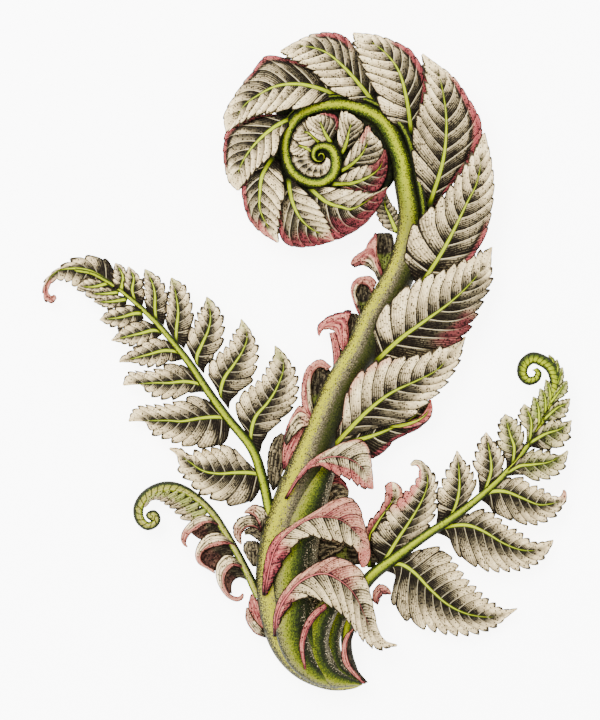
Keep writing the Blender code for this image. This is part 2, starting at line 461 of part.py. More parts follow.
LEFT_ARCH = [8.5, 10.2, 12, 13.4, 14, 13.4, 12, 10, 7.6]
LEFT_RACHIS = [
    (137.5, 98.0), (134.6, 105.4), (131.4, 120.0), (126, 135.7), (114.1, 150.7), (104.3, 164.1), (95.4, 177.5),
    (86.4, 189.1), (77.5, 199.4), (68.6, 207.9), (59.6, 215.4), (52.5, 219.9), (45.4, 223.5), (37.3, 225.0),
]
LEFT_LEAFLETS = [
    traced([(125.3, 138.2), (125.7, 144.9), (128, 152), (133.8, 158.7), (138.7, 166.8), (141.8, 177.5), (137.3, 187.3)],
           [(123, 143.6), (119, 150.7), (118.8, 157.9), (123, 163.2), (130.2, 168.6), (133.8, 173.9), (136.9, 181.1),
            (137.2, 187)],
           [(130.2, 133.7), (131.1, 139.1), (135.5, 145.4), (143.6, 154.3), (147.1, 161.4), (147.6, 168.6),
            (146.3, 174.8), (143.6, 181.1), (140, 185.5), (137.5, 187.4)],
           (12, 13.6, 6.5), 8),
    traced([(110.5, 160.5), (110.4, 165), (112.3, 171.2), (116.8, 177.5), (121.3, 184.6), (123.5, 191.8), (120.4, 200.7)],
           [(107.9, 165.9), (104.7, 171.2), (105, 176.6), (108.8, 181.1), (114.1, 185.5), (116.8, 190), (119.5, 196.2),
            (120.2, 200.3)],
           [(114.6, 155.2), (115, 159.6), (119.5, 164.1), (124.8, 169.5), (126.6, 175.7), (127.7, 182.9),
            (127.1, 189.1), (124.8, 195.4), (120.8, 200.7)],
           (13.2, 14.6, 6), 8),
    traced([(98.5, 177.1), (98.5, 182), (101.2, 188.2), (104.3, 195.4), (105.2, 202.5), (103.2, 211.9)],
           [(95.8, 182), (93.6, 187.3), (94.5, 191.8), (98, 197.1), (100.7, 203.4), (102.3, 208.7), (103, 211.6)],
           [(102.1, 173), (102.5, 176.6), (105.2, 180.2), (109.2, 186.4), (110.7, 193.6), (110.5, 200.7),
            (108.8, 205.2), (106.1, 209.6), (103.4, 211.9)],
           (14, 15, 6.5), 6),
    traced([(88, 189.6), (88.2, 195.4), (89.1, 204.3), (87.8, 213.2), (85.5, 221.4)],
           [(83.8, 195.4), (83.3, 200.7), (84.6, 207.9), (85.1, 214.1), (84.9, 219.5), (85.3, 221.2)],
           [(92.2, 185.5), (93.6, 191.8), (95.4, 198.9), (95.2, 206.1), (93.6, 212.3), (90.9, 217.7), (86, 221.4)],
           (13.8, 15, 7), 6),
    traced([(78, 200.7), (77.5, 206.1), (77.5, 213.2), (75.7, 219.5), (72.1, 225.7)],
           [(73.5, 204.3), (73, 210.5), (72.9, 216.8), (72, 222.1), (71.9, 225.3)],
           [(82, 197.1), (82.4, 202.5), (83, 209.6), (82, 215), (79.3, 220.4), (75.7, 223.9), (72.6, 225.7)],
           (13.2, 14.4, 7), 6),
    traced([(67.2, 210.5), (66.1, 215), (66.8, 221.3), (63.9, 227)],
           [(62.3, 214.1), (62.8, 219.5), (63.5, 226.4)],
           [(71.4, 207), (71.7, 213.2), (70.4, 219.5), (67.7, 223.9), (64.3, 227)],
           (12, 13, 7), 4),
    traced([(60.5, 215), (61.4, 222.1), (57.4, 228.6)],
           [(56.5, 216), (57, 222), (57, 228.2)],
           [(64, 213), (63.9, 221), (61.5, 226.5), (57.8, 228.8)],
           (10.8, 11.6, 7), 4),
    shape([(132, 119.5), (128.8, 122.8), (124.3, 123.7), (117.1, 123.7), (110, 123.2), (102.9, 124.1), (98.4, 126.3),
           (95.3, 128.6), (84.4, 135.7)],
          [(131.5, 118.5), (130.5, 117), (129.6, 113.8), (126.1, 109.6), (121.6, 108.8), (115.4, 108.8), (106.4, 112.4),
           (99.3, 115.2), (96.6, 119.2), (91.2, 123.6), (89.5, 128.6), (87.7, 132.6), (84.3, 135.4)],
          [(131, 122), (127, 125.9), (121.6, 131.2), (117.1, 135.3), (112.7, 136.2), (108.2, 134.8), (103.8, 133.9),
           (98.4, 133), (94.8, 132.1), (90.4, 135.3), (84.9, 136.2)],
          [10.4, 12.4, 12.4, 9.6, 4.5], [10, 9.8, 9, 7, 4.5], [10.2, 10.4, 10, 7.6, 4.5], 12, 2, 1.0, 0.8),
    traced([(115, 148.9), (112.3, 150.9), (107.9, 151.6), (99.8, 150.9), (90.9, 149.4), (82.9, 149.8), (63.9, 149.4)],
           [(115, 145.4), (114.1, 140.9), (110.5, 137.8), (106.1, 137.3), (97.1, 137.9), (89.1, 139.6), (83.8, 141.8),
            (77.5, 144), (72.1, 148.9), (68.6, 150.3), (64.1, 149.1)],
           [(109.6, 155.6), (104.3, 159.6), (98, 161.4), (91.8, 159.2), (84.6, 157), (77.5, 156.5), (70.4, 156.1),
            (65.9, 153.4), (63.9, 149.8)],
           (12.8, 14.2, 4), 8),
    traced([(102.5, 166.8), (98, 168.6), (91.8, 169.3), (84.6, 168.6), (77.5, 168.6), (61.3, 167.5)],
           [(103.8, 163.7), (98, 164.5), (91.8, 163.2), (86.4, 161.6), (80.2, 162.3), (73.9, 165), (68.6, 168.1),
            (61.4, 167.2)],
           [(97.6, 173.5), (92.7, 176.6), (86.4, 177.5), (79.3, 174.4), (72.1, 173.5), (65.9, 173.5), (62.3, 170.4),
            (61, 167.7)],
           (13.8, 15, 5), 6),
    traced([(89.6, 183.3), (86.4, 184.5), (81.1, 184.6), (73, 182.4), (59.2, 179)],
           [(92.7, 180.2), (86.4, 180), (80.2, 178.4), (73, 178.1), (66.8, 178.8), (59.6, 178.8)],
           [(88.2, 185.5), (83.8, 189.1), (78.4, 190.4), (72.1, 187.8), (65, 183.8), (60.5, 181.5), (59.2, 179.3)],
           (13.8, 15, 6), 6),
    traced([(80.2, 194.3), (76.6, 194.9), (69.5, 193.1), (55.2, 189.8)],
           [(81.1, 192.7), (75.7, 189.6), (68.6, 188.2), (61.4, 188.7), (55.4, 189.6)],
           [(77.5, 197.6), (72.1, 199.4), (66.8, 198), (61.4, 195.4), (55.6, 190.4)],
           (13.4, 14.4, 6.5), 6),
    traced([(71.3, 203.4), (66.8, 203.2), (59.6, 201.2), (49.4, 200.3)],
           [(72.1, 200.7), (66.8, 198), (59.6, 197.1), (53.4, 198.2), (49.4, 200)],
           [(70.4, 206.5), (65, 207), (59.6, 205.9), (53.4, 203.8), (49.8, 200.7)],
           (12.4, 13.4, 7), 4),
    traced([(63.7, 210.5), (55.2, 209.2), (46.7, 209.2)],
           [(63, 207), (57, 206), (51.6, 207), (46.6, 209)],
           [(62, 212), (55, 212.4), (49, 211), (46.5, 209.5)],
           (11, 12, 7), 4),
    traced([(59.6, 214.1), (52.5, 213.2), (44, 213.2)],
           [(59, 211.5), (52.5, 210.8), (46, 211), (43.7, 213)],
           [(57, 216), (50, 216.2), (45, 214.8), (43.7, 213.5)],
           (10.4, 11.2, 7), 4),
    traced([(54.3, 218.6), (46.3, 216.6), (38.4, 217.1)],
           [(54, 215.6), (47.5, 214.2), (41, 215.4), (38.3, 216.8)],
           [(52, 220), (45, 220.4), (40, 218.8), (38.3, 217.4)],
           (9.6, 10.4, 7), 4),
]
LEFT_END = shape(
    [(57, 217), (53.4, 219.5), (46.3, 223.9), (40, 225.7), (34.6, 225.9), (28.4, 224.8), (23.5, 219.5), (22.6, 214.1),
     (24.8, 210.5), (27.1, 212.3)],
    [(54, 213.6), (46.3, 211.4), (43.6, 213.2), (38.2, 217.2), (34.6, 220.2), (28.4, 220.8), (24.8, 217.7),
     (23.9, 214.1), (25.3, 212.3), (26.8, 213)],
    [(57.6, 224), (53.4, 229.7), (45.8, 231.1), (40.9, 230.8), (35.5, 229.3), (31.5, 227.5), (26.6, 224.4),
     (22.6, 220.4), (21.3, 215), (22.1, 210.5), (25.3, 208.7), (27.9, 210.5), (27.6, 212.6)],
    [10.4, 8.8, 6.5, 5, 5.5], [10, 7.2, 5, 5, 6.5], [10, 7.2, 5, 5, 6.5], 12, 2, 0.8, 0.6)


def build_left():
    parts = [tube("left_frond", LEFT_RACHIS, [2.0, 1.9, 1.7, 1.5, 1.2, 0.9, 0.7], [2.0, 1.9, 1.7, 1.5, 1.2, 0.9, 0.7],
                  LEFT_ARCH, 13, THIN_SIDES)]
    parts += [blade("left_%d" % number, leaf) for number, leaf in enumerate(LEFT_LEAFLETS)]
    parts.append(blade("left_end", LEFT_END))
    return fuse("left_frond", parts, "leaf", "MANIFOLD")


RIGHT_ARCH = [5, 7, 9, 10.8, 12.4, 13.8, 14.8, 15, 14.6, 13.8, 13, 12.4, 12, 12, 12.4, 13]
RIGHT_RACHIS = [
    (176.8, 24), (173.8, 33), (173.4, 43), (176, 56), (184.3, 70.4), (198.7, 81.9), (213, 92.4), (227.4, 102), (239.8, 111.6),
    (252.3, 123), (261.8, 134.5), (269.5, 146), (274.3, 155.6), (277.1, 165.1), (277.6, 170.9), (275.2, 176.6),
    (270.4, 180), (265.7, 180.9), (261.8, 177.6), (261.2, 172.8), (264.2, 169.6), (268.0, 170.6), (269.2, 173.8),
    (267.2, 175.6),
]
RIGHT_LEAFLETS = [
    shape([(184.3, 76), (184.6, 90), (189.1, 99.1), (193.9, 105.8), (197.4, 112), (196.4, 118.8)],
          [(182.8, 77), (182, 90), (184.3, 98.2), (189.1, 103.9), (192.5, 110.6), (193, 117.3), (195.8, 119.4)],
          [(187.6, 76.5), (188, 88), (193, 97), (198, 104), (201.3, 112.5), (199.7, 117.3), (196.8, 119.2)],
          [10.6, 11.6, 11.4, 9.6, 8], [10.2, 9.6, 9.4, 9, 7.8], [10.2, 9.6, 9.4, 8, 7.4], 8, 2, 0.6, 0.5),
    shape([(191, 78), (193, 80.9), (198.7, 90.5), (204.4, 99.1), (210.2, 108.7), (213.5, 117.3), (213, 124),
           (209.2, 128.8), (205.4, 127.3)],
          [(189.5, 79), (185.8, 85.7), (186, 91.5), (190.1, 97.2), (193, 98.6), (193.9, 103.9), (199.2, 108.7),
           (203.5, 113.5), (207.3, 117.3), (209.7, 123), (208.7, 126.9), (205.4, 126.9)],
          [(193, 79.5), (201, 84), (208.3, 90.5), (213, 96.3), (216.4, 103.9), (217.1, 111.6), (217.4, 119.2),
           (215, 125), (211.1, 129.3), (207.3, 130.2), (204.8, 127.9)],
          [11.8, 15.5, 17, 15.5, 13], [12, 15.6, 16.4, 15, 13], [11.4, 13, 14, 14, 13], 10, 2, 0.9, 0.6),
    shape([(191.4, 75.2), (197.7, 78.1), (202.5, 77.1), (208.3, 72.8), (215, 65.6), (223.6, 58), (233.1, 53.2),
           (243.7, 51.3), (252.3, 52.3), (259, 55.3)],
          [(192.4, 78), (200.6, 80.9), (206.4, 83.8), (213, 85.7), (218.8, 85.7), (222.4, 81.9), (226.4, 77.1),
           (231.2, 69.5), (236, 64.7), (240.8, 59.9), (246.5, 56.6), (252.3, 54.9), (259.2, 55.7)],
          [(192, 74.6), (197.3, 72.3), (196.3, 66.6), (195.4, 60.9), (201.6, 53.2), (208.3, 49.4), (214, 47.5),
           (222.6, 45.1), (231.2, 44.1), (239.8, 45.1), (248.4, 47.5), (254.2, 51.3), (259.1, 54.9)],
          [12, 14.4, 13.4, 9.4, 3.6], [11.6, 10.8, 10, 7.4, 3.6], [11.6, 10.6, 7.6, 5, 3.6], 12, 2, 1.3, 0.9),
    shape([(217.5, 95.3), (227.4, 97.4), (235, 97.2), (242.7, 93.9), (252.3, 88.1), (261.8, 84.8), (271.4, 85.3),
           (277.1, 89.7)],
          [(218, 97), (231.2, 101.5), (237, 103.9), (242.7, 103.9), (248.9, 99.6), (252.3, 95.8), (258, 93.4),
           (262.8, 89.6), (268.5, 88.1), (276.9, 90)],
          [(217.2, 93.6), (223.6, 91.5), (226.4, 85.7), (229.3, 82.4), (235, 79.5), (242.7, 76.6), (251.3, 76.2),
           (259, 76.6), (265.7, 78.1), (272.4, 81.9), (276.2, 86.7), (277.2, 89.4)],
          [13.2, 15, 13.6, 10, 5], [12.6, 11.6, 10.4, 8, 5], [12.8, 12, 9.6, 7, 5], 8, 2, 1.1, 0.8),
    shape([(240.6, 112), (246.5, 114.4), (253.2, 114.2), (260.9, 111.1), (269.5, 107.7), (278.1, 108.7),
           (282.9, 111.6), (282.2, 114.9)],
          [(240.5, 113.6), (249.4, 118.7), (254.2, 120.6), (260.9, 120.2), (263.7, 117.3), (269.5, 114.9), (275.2, 112),
           (280, 111.6), (281.4, 113.5), (281.6, 115)],
          [(239.6, 110.4), (243.7, 107.7), (246.5, 103.9), (252.3, 102), (259.9, 99.6), (268.5, 99.3), (276.2, 102.5),
           (280, 105.8), (283.4, 109.6), (283.6, 113.5), (282.6, 115.2)],
          [14.6, 16, 14.4, 10.6, 6.5], [14, 13, 11.6, 9.6, 6.5], [14.2, 13, 10.6, 8, 6.5], 8, 2, 0.9, 0.7),
    traced([(224.6, 100.6), (227.9, 107.7), (229.5, 115.4), (229.5, 124), (228.5, 135)],
           [(217.8, 97.7), (219.3, 103.9), (219, 110.6), (221.7, 117.3), (224.5, 124), (226.9, 130.7), (228.3, 134.7)],
           [(231.2, 105.8), (236, 113.5), (236.7, 118.3), (234.6, 124), (232.2, 128.8), (229.3, 134.2)],
           (13.6, 15.6, 9), 6),
    traced([(242.4, 114.6), (245.1, 123), (245.4, 128.8), (244.2, 137), (243.1, 144.1)],
           [(239.2, 113.6), (239.8, 120.2), (237.7, 126.9), (239.4, 133.6), (240.8, 140.3), (242.8, 143.9)],
           [(246.5, 119), (249.9, 123), (251.1, 128.8), (249.9, 133.6), (246.5, 139.3), (243.5, 143.9)],
           (14.7, 16.4, 9), 6),
    traced([(256.2, 128.4), (256.9, 136.4), (255.1, 142.2), (253.7, 147.9), (252.7, 153.2)],
           [(253, 125.4), (253.2, 130.7), (250.2, 136.4), (250.4, 142.2), (250.2, 148.9), (252.4, 153)],
           [(258.4, 131), (259.9, 133.6), (261.4, 139.3), (260.4, 144.1), (257.1, 149.8), (253.2, 153)],
           (15, 16.4, 9), 6),
    traced([(264.8, 139.4), (265.5, 148.9), (263.7, 154.6), (262.1, 158.2)],
           [(262.8, 137.4), (263.3, 144.1), (260.7, 148.9), (260.4, 154.6), (261.8, 158)],
           [(267, 142.4), (268.1, 146), (269, 150.8), (266.6, 154.6), (262.6, 158)],
           (14.6, 15.6, 10), 4, 0.7),
    traced([(269.4, 147.4), (269, 156.5), (266.6, 161.8)],
           [(267.6, 144.8), (265.8, 152.7), (266, 158.4), (266.4, 161.6)],
           [(271, 149.6), (272.4, 156.5), (270, 160), (266.9, 161.8)],
           (14.3, 15, 10), 4, 0.5),
    traced([(272.6, 153.6), (272.4, 161.5), (270, 165.9)],
           [(271.2, 150.8), (269.4, 159.4), (269.6, 165.7)],
           [(274, 155.6), (274.8, 162.7), (270.3, 165.9)],
           (13.8, 14.6, 10.5), 4, 0.4),
    traced([(275.3, 159.5), (274.6, 166), (272.8, 170.4)],
           [(274.2, 157.4), (272.2, 164), (272.6, 170.2)],
           [(276.2, 161), (276.2, 167.6), (273.1, 170.4)],
           (13.4, 14, 10.8), 4, 0.4),
    traced([(252.6, 123.4), (259.4, 127.1), (265.7, 127.8), (275.2, 129.3), (284.3, 134.7)],
           [(254.6, 126.4), (260.9, 131.6), (265.7, 134), (271.4, 133.6), (277.1, 132.6), (281, 132.8), (284, 134.9)],
           [(252, 121.6), (259.9, 123), (265.7, 120.9), (273.3, 121.6), (278.1, 124), (281.4, 126.9), (284.1, 132.6),
            (284.5, 134.4)],
           (14.9, 16.2, 8), 6),
    traced([(264.4, 138.6), (272.4, 143.1), (280, 145.5), (286.2, 149.8)],
           [(266, 142.2), (272.4, 147.9), (277.1, 149.3), (281.9, 148.9), (286, 150.1)],
           [(264.4, 136.6), (273.3, 135.7), (279.1, 137.4), (283.8, 142.2), (286.2, 149.4)],
           (14.7, 15.6, 8.5), 6),
    traced([(271.6, 150.4), (278.1, 156), (282.9, 158), (285.3, 160.8)],
           [(273, 154.4), (278.1, 158.9), (281.4, 159.9), (285, 161)],
           [(271.6, 149.2), (277.1, 150), (281, 151.7), (284.3, 156.5), (285.5, 160.6)],
           (14.2, 15, 9), 4, 0.7),
    traced([(274.8, 158.6), (280, 165.1), (283.8, 169.7)],
           [(275.8, 162.6), (281, 168.5), (283.6, 169.9)],
           [(274.8, 157), (280, 160.8), (283.4, 164.2), (284.3, 168.9)],
           (13.6, 14.4, 9.5), 4, 0.6),
    traced([(276.8, 165), (280, 172.5), (281.4, 176.4)],
           [(277, 168.5), (279.5, 175), (281.2, 176.6)],
           [(276.8, 163.6), (281, 168.5), (282, 173), (281.7, 176.2)],
           (13, 13.6, 10), 4, 0.5),
    traced([(277.4, 170.4), (278.8, 177), (278.6, 180.4)],
           [(276.4, 172.6), (277.4, 178.6), (278.3, 180.4)],
           [(278, 169.6), (280, 176), (279, 180.3)],
           (12.6, 13.2, 10.5), 4, 0.4),
    leaflet([(275.5, 175.5), (276.3, 179.5), (274.4, 182.6)], 1.6, 1.4, (12.4, 12.8, 11), 4, 0.4),
]


def build_right():
    parts = [tube("right_frond", RIGHT_RACHIS, [1.9, 2.3, 2.7, 2.3, 1.9, 1.7, 1.5, 1.3, 1.5, 1.7, 1.4, 0.8],
                  [1.9, 2.3, 2.6, 2.3, 1.9, 1.7, 1.5, 1.3, 1.5, 1.7, 1.4, 0.8],
                  RIGHT_ARCH, 36, THIN_SIDES)]
    parts += [blade("right_%d" % number, leaf) for number, leaf in enumerate(RIGHT_LEAFLETS)]
    return fuse("right_frond", parts, "leaf", "MANIFOLD")


YOUNG_RACHIS = [
    (129.5, 61.5), (127, 66.4), (124.2, 72.4), (118.2, 84), (112.7, 93.6), (106.7, 102.7), (99.4, 110), (91.5, 114.9),
    (84.2, 116.4), (77.6, 114.9), (72.1, 111.2), (69.1, 105.8), (69.7, 100.3), (73.3, 96.9), (77, 97.9),
    (78.4, 100.6), (76.8, 103.2), (74.2, 102.2),
]
YOUNG_BEANS = [
    ((102.8, 104), (96, 103.4), (89.5, 100)), ((101, 107), (94, 106.8), (86.8, 103.4)),
    ((98, 109.8), (91, 109.8), (83.9, 106)), ((93.6, 112.6), (87, 112.2), (80.7, 108.9)),
    ((88.6, 114.2), (83, 113.4), (78.3, 110)), ((82.6, 114.4), (78.6, 113.2), (75.6, 109.8)),
    ((77.6, 113.2), (74.8, 111.4), (73.1, 108.2)),
]
YOUNG_CURLS = [
    shape([(109, 96.8), (102, 98.4), (97.2, 98), (93.2, 94.6), (92.2, 91.4), (93.4, 86.5)],
          [(108.4, 94.6), (101, 95.5), (96, 94.5), (93.8, 91), (93.9, 87)],
          [(109.8, 98.4), (103, 101), (98.4, 101.8), (92.6, 98.6), (90.6, 93), (92.9, 86.2)],
          [8, 10.5, 11, 9.5, 7.5], [7.5, 7.5, 7.5, 7.5, 7], [8, 9, 9, 8, 7], 8, 2, 0.6, 0.5),
    shape([(117.2, 84.6), (111, 90), (105.6, 89.8), (100.4, 85.6), (100.2, 81.2), (104, 77.4), (107.7, 74)],
          [(117.1, 83), (110, 87.5), (103.8, 85.7), (102.2, 82.1), (104.8, 78.8), (107.6, 74.7)],
          [(117.3, 86), (112.6, 92.4), (106.8, 93.7), (99.3, 88.4), (97.5, 82.1), (102.9, 76.6), (107.6, 73.3)],
          [8, 10.5, 11, 10, 7.5], [7.5, 7.5, 7.5, 7.5, 7], [8, 9, 9, 8, 7], 9, 2, 0.6, 0.5),
    shape([(122.2, 75.2), (117, 79), (113, 78.6), (110.3, 73.6), (110.2, 69), (114, 63.4), (118, 60.2), (121.4, 63.1)],
          [(121.6, 73.6), (116.9, 76.6), (112.9, 75), (111.9, 70.5), (114.8, 64.7), (118, 61.2), (121, 63.8)],
          [(122.8, 76.4), (118.9, 80.4), (114.5, 82.1), (109.1, 78.6), (108.2, 69.6), (112.7, 61.6), (118, 59.2),
           (121.9, 62.6)],
          [8, 10, 11, 10, 8], [7.5, 7.5, 7.5, 7.5, 7.2], [8, 9, 9, 8.5, 7.8], 10, 2, 0.6, 0.5),
]


def build_young():
    parts = [tube("young_crozier", YOUNG_RACHIS, [1.9, 1.6, 1.3, 1.3, 1.6, 2.3, 1.6, 0.9],
                  [1.9, 1.6, 1.3, 1.3, 1.6, 2.2, 1.6, 0.9], [9, 8.6, 8.2, 8, 7.6, 7.2, 7.4, 8.4], 26, THIN_SIDES)]
    for number, points in enumerate(YOUNG_BEANS):
        parts.append(blade("bean_%d" % number, dict(leaflet(points, 1.9, 1.9, (7.6, 8.6, 6.4), 4, 0.0, 0.4), thick=1.6)))
    parts += [blade("curl_%d" % number, leaf) for number, leaf in enumerate(YOUNG_CURLS)]
    return fuse("young_crozier", parts, "bract")


